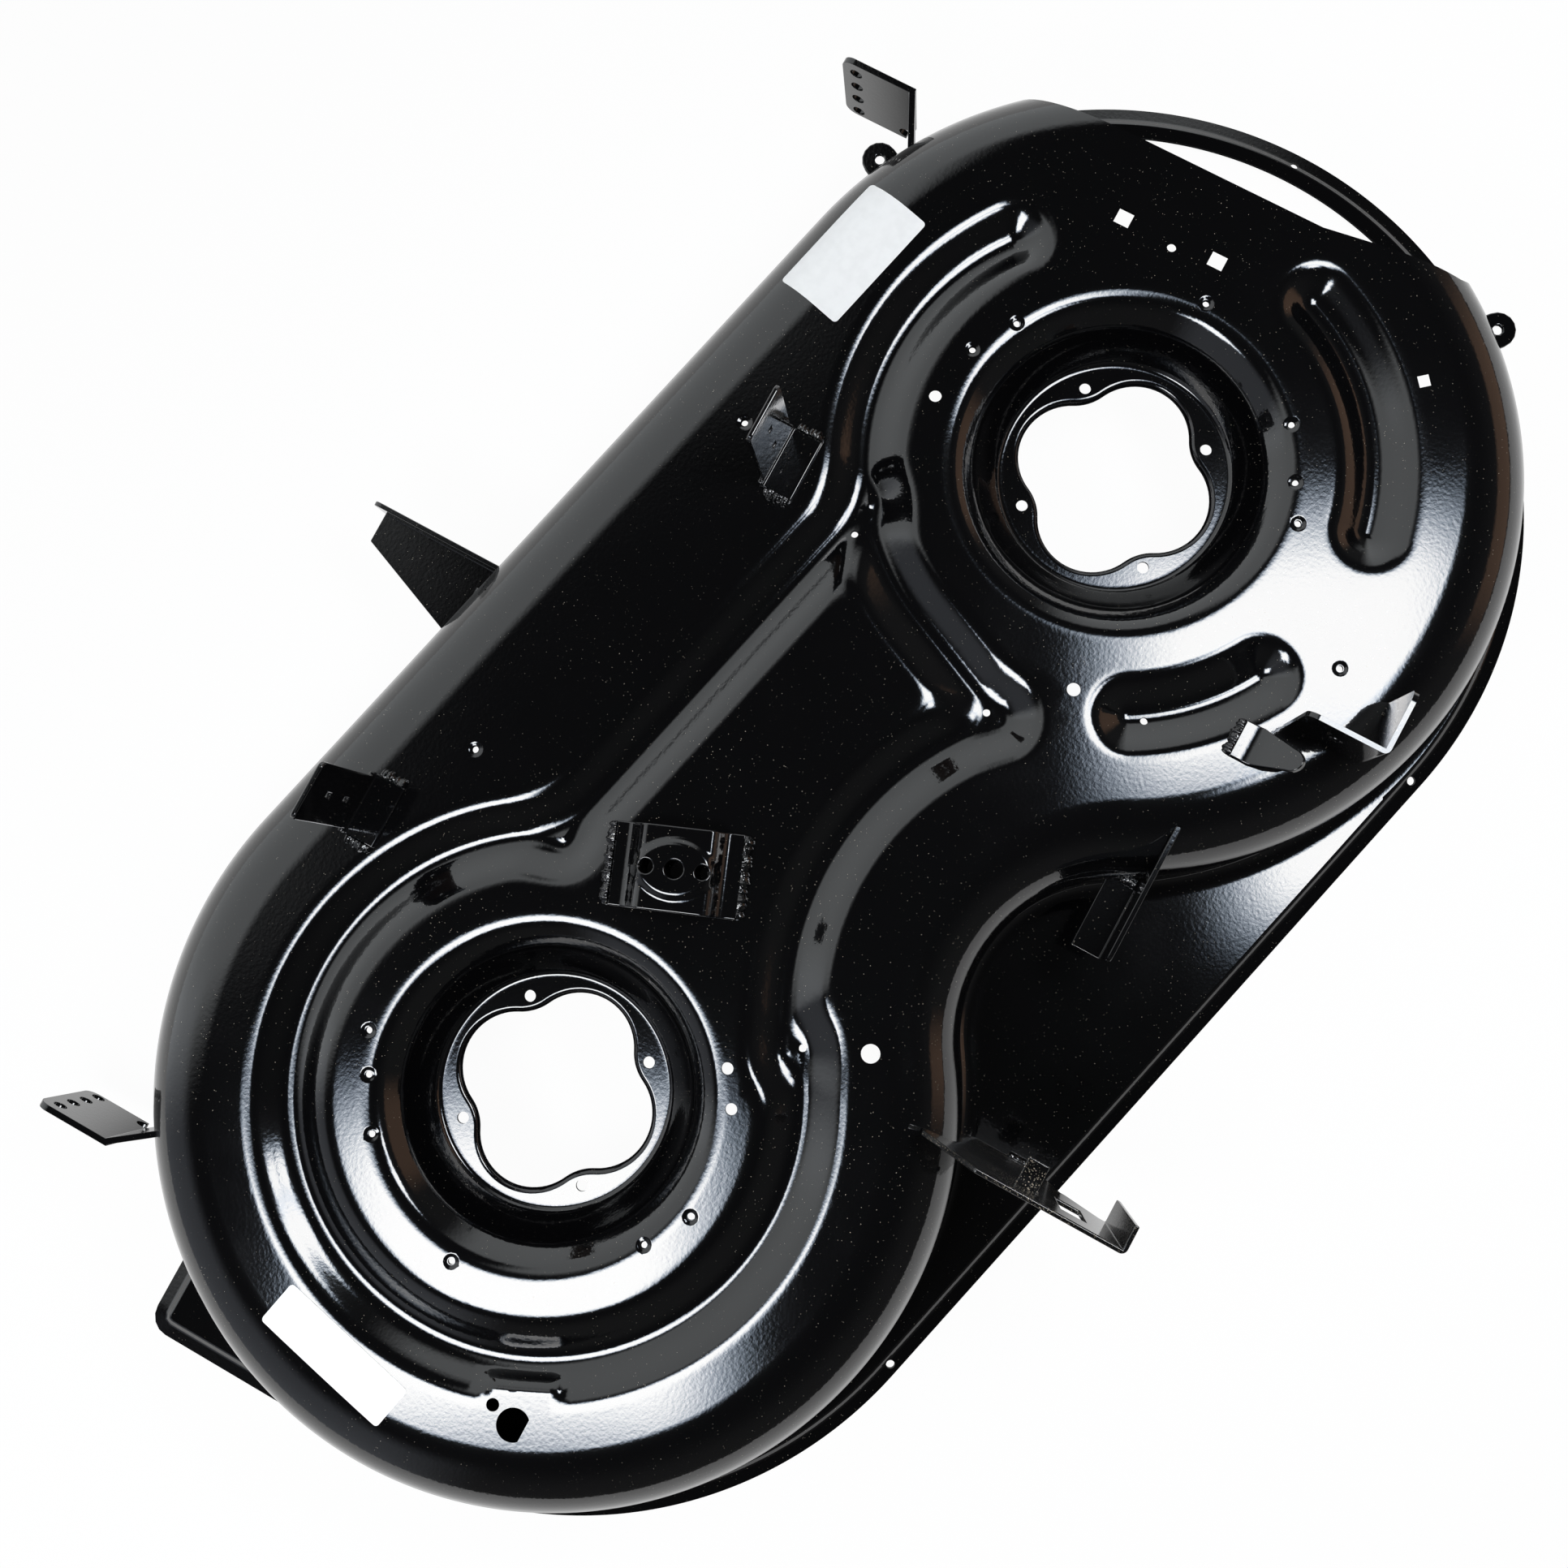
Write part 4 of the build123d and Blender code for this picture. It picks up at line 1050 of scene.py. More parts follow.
        slope = -self.lip_fall / self.lip_width  # the outline runs clockwise
        edge_normals = unit(np.column_stack([slope * outward(outer), np.ones(len(outer))]))
        edge = np.column_stack([outer, np.full(len(outer), self.panel_z - self.lip_drop)])
        loops = [(outer, sheet.add(edge, edge_normals))]
        loops.append((np.concatenate([inner, hoop]), np.concatenate([foot, sheet.add(*raised(hoop))])))
        for at in self.to_press(np.array(self.rim_holes)):
            hole = polar(tuple(at), self.rim_hole_r, np.linspace(0.0, 360.0, 17)[:-1])
            loops.append((hole, sheet.add(*raised(hole))))
        rows = [self.rim_outline(-gap) for gap in self.lip_rows]
        ahead = np.concatenate([np.roll(row, -1, axis=0) for row in rows])
        first = np.cumsum([0] + [len(row) for row in rows])
        following = np.concatenate([np.roll(np.arange(a, b), -1) for a, b in zip(first[:-1], first[1:])])
        extra = np.concatenate(rows)
        low, high = outer.min(axis=0), outer.max(axis=0)
        loose = plan_grid(*(np.arange(a, b, self.panel_step) for a, b in zip(low, high)))
        loose = loose[inside(outer, loose)]
        loose = loose[distance_to_loop(outer, loose) > 22.0]
        middle = (extra + ahead) / 2
        clear = self.clear_of(loops, extra)
        joined = clear & clear[following] & self.clear_of(loops, middle)
        place = np.cumsum(clear) - 1
        kept = np.column_stack([place, place[following]])[joined]
        extra = np.concatenate([extra[clear], loose[self.clear_of(loops, loose)]])
        sheet.fill(loops, extra, sheet.add(*raised(extra)), kept)

    def build(self) -> bpy.types.Object:
        """Build the whole pressing.

        Returns:
            The shell as one solid in the deck frame.
        """
        sheet = Sheet("pressed_shell", self.sheet)
        skirt = self.skirt(sheet)
        self.top(sheet, skirt[0])
        self.rim(sheet, skirt[-1])
        sheet.turn(self.to_deck)
        return sheet.solid()


@dataclass
class Wiring:
    """Adds nodes to a node tree and links them."""

    tree: bpy.types.NodeTree

    def put(self, kind: str, inputs: dict | None = None, **settings: object) -> bpy.types.Node:
        """Add a node.

        Args:
            kind: The node's type name, without its common start.
            inputs: Values or output sockets by input name or number.
            settings: The node's own settings.

        Returns:
            The new node.
        """
        node = self.tree.nodes.new("ShaderNode" + kind)
        for name, value in settings.items():
            setattr(node, name, value)
        self.feed(node, inputs or {})
        return node

    def feed(self, node: bpy.types.Node, inputs: dict) -> None:
        """Give a node's inputs their values, or link output sockets to them.

        Args:
            node: The node to feed.
            inputs: Values or output sockets by input name or number.
        """
        for name, value in inputs.items():
            if isinstance(value, bpy.types.NodeSocket):
                self.tree.links.new(value, node.inputs[name])
            else:
                node.inputs[name].default_value = value

    def calc(self, operation: str, first: object, second: object = 0.0) -> bpy.types.NodeSocket:
        """Work out one number from two, and give its socket."""
        return self.put("Math", {0: first, 1: second}, operation=operation).outputs[0]

    def hypot(self, first: object, second: object) -> bpy.types.NodeSocket:
        """Work out the root of the sum of two squares, and give its socket."""
        squares = [self.calc("MULTIPLY", part, part) for part in (first, second)]
        return self.calc("SQRT", self.calc("ADD", *squares))

    def noise(self, where: object, scale: float, detail: float) -> bpy.types.NodeSocket:
        """Add a noise of a scale, and give the socket of its height."""
        return self.put("TexNoise", {"Vector": where, "Scale": scale, "Detail": detail}).outputs["Fac"]

    def mixed(self, share: object, first: Colour, second: Colour) -> bpy.types.NodeSocket:
        """Mix two colours by a share, and give the socket."""
        inputs = {"Factor": share, "A": first, "B": second}
        return self.put("Mix", inputs, data_type="RGBA").outputs["Result"]

    def ease(self, value: object, low: float, high: float, to: Point = (0.0, 1.0)) -> bpy.types.NodeSocket:
        """Ease a number between two marks onto another range, and give its socket."""
        inputs = {"Value": value, "From Min": low, "From Max": high, "To Min": to[0], "To Max": to[1]}
        return self.put("MapRange", inputs, interpolation_type="SMOOTHSTEP").outputs["Result"]


def new_material(name: str) -> tuple[bpy.types.Material, Wiring, bpy.types.Node]:
    """Start a material, and give it with its wiring and its shader node.

    Args:
        name: The material's name.

    Returns:
        The material, its wiring and its shader node.
    """
    material = bpy.data.materials.new(name)
    material.use_nodes = True
    return material, Wiring(material.node_tree), material.node_tree.nodes["Principled BSDF"]


@dataclass(frozen=True)
class GlossPaint:
    """Gloss black paint with a fine peel and a little dust; lumps for weld beads."""

    name: str = "gloss_black_paint"
    colour: Colour = (0.0018, 0.0018, 0.0021, 1.0)
    dust: Colour = (0.48, 0.43, 0.35, 1.0)
    roughness: float = 0.12
    coat_roughness: float = 0.02
    coat_ior: float = 1.6
    peel_scale: float = 430.0
    peel_height: float = 0.036
    lump_scale: float = 300.0
    lump_height: float = 0.0
    dust_scale: float = 950.0
    dust_share: float = 0.76
    speck_size: Point = (0.05, 0.22)
    cloud_scale: float = 14.0
    smear_scale: float = 30.0

    def build(self) -> bpy.types.Material:
        """Build the material: dust specks over black, a clear coat, and a bump of peel and lumps.

        Returns:
            The material.
        """
        material, wires, shader = new_material(self.name)
        wires.feed(shader, {"Coat Weight": 1.0, "Coat Roughness": self.coat_roughness,
                            "Coat IOR": self.coat_ior, "IOR": 1.45, "Specular IOR Level": 0.2})
        where = wires.put("TexCoord").outputs["Object"]
        specks = wires.put("TexVoronoi", {"Vector": where, "Scale": self.dust_scale})
        chance = wires.put("SeparateColor", {"Color": specks.outputs["Color"]}).outputs
        pick = wires.calc("GREATER_THAN", chance["Red"], self.dust_share)
        size = wires.ease(wires.calc("POWER", chance["Green"], 3.0), 0.0, 1.0, self.speck_size)
        dusty = wires.calc("MULTIPLY", wires.calc("LESS_THAN", specks.outputs["Distance"], size), pick)
        cloud = wires.noise(where, self.cloud_scale, 4.0)
        dusty = wires.calc("MULTIPLY", dusty, wires.ease(cloud, 0.3, 0.75, (0.15, 1.0)))
        smear = wires.noise(where, self.smear_scale, 5.0)
        rough = wires.ease(smear, 0.3, 0.8, (self.roughness * 0.9, self.roughness * 1.2))
        wires.feed(shader, {"Base Color": wires.mixed(dusty, self.colour, self.dust), "Roughness": rough})
        peel = wires.noise(where, self.peel_scale, 2.0)
        lump = wires.noise(where, self.lump_scale, 2.0)
        height = wires.calc("MULTIPLY", peel, self.peel_height * MM)
        height = wires.calc("ADD", height, wires.calc("MULTIPLY", lump, self.lump_height * MM))
        bump = wires.put("Bump", {"Height": height, "Strength": 1.0, "Distance": 1.0}).outputs["Normal"]
        wires.feed(shader, {"Normal": bump, "Coat Normal": bump})
        return material


@dataclass(frozen=True)
class LabelStock:
    """Blank white label film, satin, with a faint grain."""

    name: str = "blank_label_white"
    colour: Colour = (0.87, 0.87, 0.86, 1.0)
    shade: Colour = (0.83, 0.83, 0.82, 1.0)
    roughness: float = 0.38
    grain_scale: float = 160.0

    def build(self) -> bpy.types.Material:
        """Build the material: white film with a slight mottle and a soft sheen.

        Returns:
            The material.
        """
        material, wires, shader = new_material(self.name)
        where = wires.put("TexCoord").outputs["Object"]
        grain = wires.noise(where, self.grain_scale, 4.0)
        colour = wires.mixed(wires.ease(grain, 0.35, 0.75), self.colour, self.shade)
        bump = wires.put("Bump", {"Height": grain, "Strength": 0.3, "Distance": 0.00004}).outputs["Normal"]
        wires.feed(shader, {"Base Color": colour, "Roughness": self.roughness, "Specular IOR Level": 0.4,
                            "Normal": bump})
        return material


@dataclass
class BlankLabel:
    """A blank white label stuck on the shell, drawn in the pressing frame."""

    name: str
    centre: Point
    size: Point
    turn: float = 0.0
    corner_r: float = 2.5
    film: float = 0.18

    def build(self, shell: DeckShell) -> bpy.types.Object:
        """Build the label: a rounded rectangle laid on the shell's skin.

        Args:
            shell: The shell that carries the label.

        Returns:
            The label as a thin solid in the deck frame.
        """
        half = np.array(self.size) / 2
        arcs = []
        for i, sign in enumerate(((1, 1), (-1, 1), (-1, -1), (1, -1))):
            centre = np.array(sign) * (half - self.corner_r)
            arcs.append(polar(tuple(centre), self.corner_r, np.linspace(90.0 * i, 90.0 * i + 90.0, 6)))
        corners = np.concatenate(arcs)
        share = np.linspace(0.0, 1.0, 7)[:-1, None]
        sides = [a + (share if np.linalg.norm(b - a) > 5.0 else share[:1]) * (b - a)
                 for a, b in zip(corners, np.roll(corners, -1, axis=0))]
        loop = np.concatenate(sides)
        extra = plan_grid(*(np.linspace(-size, size, 22)[1:-1] for size in half))
        turn = math.radians(self.turn)
        spin = np.array([[math.cos(turn), -math.sin(turn)], [math.sin(turn), math.cos(turn)]])
        loop = loop @ spin.T + np.array(self.centre)
        extra = extra @ spin.T + np.array(self.centre)
        sheet = Sheet(self.name, self.film)
        ring = sheet.add(*shell.skin(loop, self.film))
        sheet.fill([(loop, ring)], extra, sheet.add(*shell.skin(extra, self.film)))
        sheet.turn(shell.to_deck)
        return sheet.solid()


@dataclass
class WeldBead:
    """A fillet weld bead along a straight foot, with its ripples."""

    name: str
    nodes: tuple[str, ...]
    runs: tuple[tuple[Place, Place, Place], ...]
    leg: float = 4.7
    ripple: float = 2.6

    def build(self) -> bpy.types.Object:
        """Build the beads: a bulged quarter section carried along each foot, swelling with each ripple.

        Each run gives its start, its end and the outward direction of its level leg. Two slower waves
        make the bead uneven, and the section shrinks to a round end at both ends of the run.

        Returns:
            All runs as one object.
        """
        points, faces, first = [], [], 0
        for start, end, out in self.runs:
            a, b, side = np.array(start), np.array(end), np.array(out)
            length = float(np.linalg.norm(b - a))
            s = np.linspace(0.0, length, 70)
            edge = np.minimum(s, length - s)
            taper = np.sqrt(np.clip(1.0 - (1.0 - np.clip(edge / 3.0, 0.0, 1.0)) ** 2, 0.02, 1.0))
            swell = 0.94 + 0.14 * np.abs(np.sin(math.pi * s / self.ripple))
            swell += 0.13 * np.sin(s * 0.55 + a[0]) + 0.09 * np.sin(s * 1.27 + a[1])
            turns = np.radians(np.linspace(0.0, 90.0, 9))
            bulge = 1.0 + 0.12 * np.sin(2 * turns)
            reach = self.leg * taper[:, None] * swell[:, None] * bulge
            row = (a + (s / length)[:, None] * (b - a))[:, None, :]
            level, rise = (reach * np.cos(turns))[..., None], (reach * np.sin(turns))[..., None]
            arc = row + level * side + rise * [0.0, 0.0, 1.0]
            section = np.concatenate([arc, row], axis=1)
            n, m = section.shape[:2]
            index = first + np.arange(n * m).reshape(n, m)
            wrap = np.concatenate([index, index[:, :1]], axis=1)
            faces.append(grid_cells(wrap).reshape(-1, 3))
            for ring in (index[0], index[-1][::-1]):
                faces.append(np.column_stack([np.full(m - 2, ring[0]), ring[2:], ring[1:-1]]))
            points.append(section.reshape(-1, 3))
            first += n * m
        piece = triangles_to_object(self.name, np.concatenate(points) * MM, np.concatenate(faces))
        recalculate(piece)
        piece.data.shade_smooth()
        piece.data.set_sharp_from_angle(angle=math.radians(60.0))
        return piece


def round_edges(piece: bpy.types.Object, radius: float) -> None:
    """Mark a piece's hard edges and round them over.

    Args:
        piece: The piece, whose faces are shaded smooth here.
        radius: The rounding in millimetres.
    """
    piece.data.shade_smooth()
    sharp = math.radians(28.0)
    piece.data.set_sharp_from_angle(angle=sharp)
    bevel = piece.modifiers.new("sheared_edge", "BEVEL")
    bevel.width = radius * MM
    bevel.segments = 3
    bevel.limit_method = "ANGLE"
    bevel.angle_limit = sharp


@dataclass
class BentPlate:
    """A small bent plate, drawn flat about its own place and lifted by a height over its plan."""

    name: str
    at: Point
    turn: float
    plate: float
    edge_r: float = 1.0
    step: float = 1.0

    def outlines(self) -> list[Array]:
        """Give the plate's outline and then its holes, all anticlockwise."""
        raise NotImplementedError

    def height(self, plan: Array) -> Array:
        """Give the upper skin's height over plan points."""
        raise NotImplementedError

    def placed(self, rows: Array) -> Array:
        """Turn points or normals about the upright axis into the deck frame.

        Args:
            rows: Rows of three numbers about the plate.

        Returns:
            The turned rows.
        """
        turn = math.radians(self.turn)
        return rows @ np.array([[math.cos(turn), math.sin(turn), 0.0], [-math.sin(turn), math.cos(turn), 0.0],
                                [0.0, 0.0, 1.0]])

    def even(self, corners: Array) -> Array:
        """Give a closed line of corners with points at about the step.

        Args:
            corners: The corners in order.

        Returns:
            The points along the closed line.
        """
        sides = []
        for a, b in zip(corners, np.roll(corners, -1, axis=0)):
            share = np.linspace(0.0, 1.0, max(1, round(float(np.linalg.norm(b - a)) / self.step)) + 1)[:-1]
            sides.append(a + share[:, None] * (b - a))
        return np.concatenate(sides)

    def build(self) -> bpy.types.Object:
        """Build the plate: rows that round each edge over in a quarter circle, and a fine grid between.

        Returns:
            The plate as a solid in the deck frame.
        """
        sheet = Sheet(self.name, self.plate)
        loops, rows, kept, first = [], [], [], 0
        outlines = self.outlines()
        lifts = np.radians([90.0, 70.0, 50.0, 30.0, 10.0, 0.0])
        for i, outline in enumerate(outlines):
            out = outward(outline) * (1.0 if i == 0 else -1.0)
            level = np.column_stack([out, 0 * out[:, 0]])
            for lift in lifts:
                plan = outline - self.edge_r * (1.0 - math.sin(lift)) * out
                points, normals = lifted(self.height, plan)
                soft = unit(math.cos(lift) * normals + math.sin(lift) * level)
                lower = points - self.edge_r * (1.0 - math.cos(lift)) * normals
                index = sheet.add(lower, soft, (points, normals))
                if lift == lifts[0]:
                    loops.append((plan, index))
                    continue
                kept.append(ring_edges(first, len(plan)))
                rows.append((plan, index))
                first += len(plan)
        low, high = outlines[0].min(axis=0), outlines[0].max(axis=0)
        grid = plan_grid(*(np.arange(a, b, self.step) for a, b in zip(low, high)))
        clear = inside(outlines[0], grid)
        for i, outline in enumerate(outlines):
            clear &= distance_to_loop(outline, grid) > self.edge_r + 0.5
            clear &= ~(inside(outline, grid) & (i > 0))
        rows.append((grid[clear], sheet.add(*lifted(self.height, grid[clear]))))
        plan, index = (np.concatenate(part) for part in zip(*rows))
        sheet.fill(loops, plan, index, np.concatenate(kept))
        sheet.turn(self.placed)
        for points in sheet.points + sheet.backs:
            points += [*self.at, 0.0]
        return sheet.solid()


@dataclass
class IdlerBracket(BentPlate):
    """The hat bracket between the spindles, with a raised boss and three holes in a row."""

    name: str = "idler_bracket_fine"
    at: Point = (155.5, -6.0)
    turn: float = -68.3
    plate: float = 3.0
    size: Point = (78.0, 51.0)
    foot_z: float = 43.0
    hat: Section = Section((0.0, 22.0, 28.0), (10.0, 10.0, 0.0), 5.0)
    boss: Point = (52.0, 36.0)
    boss_rise: float = 2.0
    boss_step: float = 6.0
    holes: tuple[Point, ...] = ((-17.0, 4.4), (0.0, 5.6), (17.0, 4.4))

    def outlines(self) -> list[Array]:
        """Give the oblong plate and its three round holes.

        Returns:
            The outline, then the holes.
        """
        corners = np.array(self.size) / 2 * [[1.0, 1.0], [-1.0, 1.0], [-1.0, -1.0], [1.0, -1.0]]
        ring = np.linspace(0.0, 360.0, 33)[:-1]
        return [self.even(corners)] + [polar((u, 0.0), radius, ring) for u, radius in self.holes]

    def height(self, plan: Array) -> Array:
        """Give the height: the hat section by distance from the middle, and the boss.

        The boss is a lens between two equal arcs. Its height eases in by how far a point lies inside
        the nearer arc.

        Args:
            plan: Points about the bracket.

        Returns:
            One height for each point.
        """
        half_length, half_width = self.boss[0] / 2, self.boss[1] / 2
        radius = (half_length ** 2 + half_width ** 2) / (2 * half_width)
        within = radius - np.hypot(plan[:, 0], np.abs(plan[:, 1]) + radius - half_width)
        boss = smooth_step((within + self.boss_step / 3) / self.boss_step)
        return self.foot_z + self.hat.at(np.abs(plan[:, 0])) + self.boss_rise * boss


@dataclass
class RearTongue(BentPlate):
    """The small tongue beside the rear right hanger, bent up from its foot to a round tip."""

    name: str = "rear_right_tongue_fine"
    at: Point = (383.0, -262.0)
    turn: float = -90.0
    plate: float = 2.5
    foot_z: float = 42.5
    bend: Section = Section((0.0, 12.0, 64.0), (0.0, 0.0, 40.0), 9.0)
    foot_half: float = 12.0
    foot_length: float = 12.0
    tip_half: float = 7.0
    tip_at: float = 31.0

    def outlines(self) -> list[Array]:
        """Give the foot, its taper and the round tip.

        Returns:
            The outline alone.
        """
        tip = polar((self.tip_at, 0.0), self.tip_half, np.linspace(-90.0, 90.0, 13))
        corners = [[0.0, -self.foot_half], [self.foot_length, -self.foot_half], *tip,
                   [self.foot_length, self.foot_half], [0.0, self.foot_half]]
        return [self.even(np.array(corners))]

    def height(self, plan: Array) -> Array:
        """Give the height: the bend's section by distance from the foot's front edge."""
        return self.foot_z + self.bend.at(plan[:, 0])


def recalculate(piece: bpy.types.Object) -> None:
    """Turn all faces of a closed mesh outwards.

    Args:
        piece: The piece, whose mesh is changed.
    """
    shape = bmesh.new()
    shape.from_mesh(piece.data)
    bmesh.ops.recalc_face_normals(shape, faces=shape.faces)
    shape.to_mesh(piece.data)
    shape.free()


@dataclass
class Brackets:
    """The welded brackets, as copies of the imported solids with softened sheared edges."""

    edge_r: float = 0.8
    nodes: tuple[str, ...] = (
        "left_gauge_bracket", "right_gauge_bracket", "front_hanger", "front_left_bracket",
        "front_right_bracket", "rear_right_hanger", "waist_bracket", "front_eyelet", "rear_eyelet",
    )
    dusty: tuple[str, ...] = ("rear_left_hanger",)
    welds: tuple[str, ...] = ("waist_weld", "front_hanger_weld", "rear_left_weld")

    def soften(self, node: str) -> bpy.types.Object:
        """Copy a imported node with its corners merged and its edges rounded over.

        Args:
            node: The node's name.

        Returns:
            The copy, which replaces the node.
        """
        shape = bmesh.new()
        shape.from_mesh(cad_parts[node].data)
        bmesh.ops.remove_doubles(shape, verts=shape.verts, dist=1e-5)
        bmesh.ops.dissolve_limit(shape, angle_limit=math.radians(0.5), verts=shape.verts, edges=shape.edges)
        mesh = bpy.data.meshes.new(node + "_fine")
        shape.to_mesh(mesh)
        shape.free()
        piece = linked(mesh)
        round_edges(piece, self.edge_r)
        even = piece.modifiers.new("even_shading", "WEIGHTED_NORMAL")
        even.keep_sharp = True
        even.weight = 100
        return piece


@dataclass(frozen=True)
class LightField:
    """A soft bright field of the studio, by its direction in the picture and its height.

    The heading is in degrees, anticlockwise from the picture's right. A field comes in between the
    two heights of upper and goes out between those of lower, as parts of a unit direction's z.
    """

    heading: float
    half_width: float
    upper: Point
    lower: Point
    strength: float
    tint: Place
    softness: float = 9.0


@dataclass(frozen=True)
class Softbox:
    """A level softbox above the deck, placed along the picture's axes from the spot below the camera."""

    name: str
    centre: Point
    size: Point
    height: float = 890.0
    edge: float = 130.0
    strength: float = 16.0
    fringe: Colour = (0.62, 0.78, 1.0, 1.0)

    def build(self, eye: Place, heading: float) -> bpy.types.Object:
        """Build the softbox: a level sheet that glows white in its middle and fades out over a bluish edge.

        Args:
            eye: The camera's place in millimetres.
            heading: The turn of the picture's axes, in degrees.

        Returns:
            The sheet, unseen by the camera itself.
        """
        turn = math.radians(heading)
        right = np.array([math.sin(turn), -math.cos(turn)])
        below = np.array([-math.cos(turn), -math.sin(turn)])
        middle = np.array(eye[:2]) + self.centre[0] * right + self.centre[1] * below
        half = (np.array(self.size) + self.edge) / 2
        signs = np.array([[-1.0, -1.0], [-1.0, 1.0], [1.0, 1.0], [1.0, -1.0]])
        plan = middle + (signs[:, :1] * half[0]) * right + (signs[:, 1:] * half[1]) * below
        corners = np.column_stack([plan, np.full(4, self.height)]) * MM
        piece = triangles_to_object(self.name, corners, np.array([[0, 1, 2], [0, 2, 3]]))
        material, wires, _ = new_material(self.name + "_glow")
        where = wires.put("TexCoord").outputs["Object"]
        where = wires.put("VectorMath", {0: where, 1: (*(middle * MM), 0.0)}, operation="SUBTRACT").outputs[0]
        where = wires.put("VectorRotate", {"Vector": where, "Angle": math.pi / 2 - turn},
                          rotation_type="Z_AXIS").outputs[0]
        parts = wires.put("SeparateXYZ", {"Vector": where}).outputs
        share = None
        for axis, size in zip("XY", self.size):
            off = wires.calc("ABSOLUTE", parts[axis])
            fade = wires.ease(off, (size + self.edge) / 2 * MM, (size - self.edge) / 2 * MM)
            share = fade if share is None else wires.calc("MULTIPLY", share, fade)
        tint = wires.mixed(share, self.fringe, (1.0, 1.0, 1.0, 1.0))
        glow = wires.put("Emission", {"Color": tint, "Strength": self.strength}).outputs[0]
        clear = wires.put("BsdfTransparent").outputs[0]
        mix = wires.put("MixShader", {0: share, 1: clear, 2: glow}).outputs[0]
        wires.feed(material.node_tree.nodes["Material Output"], {"Surface": mix})
        piece.data.materials.append(material)
        piece.visible_camera = False
        piece.visible_shadow = False
        return piece


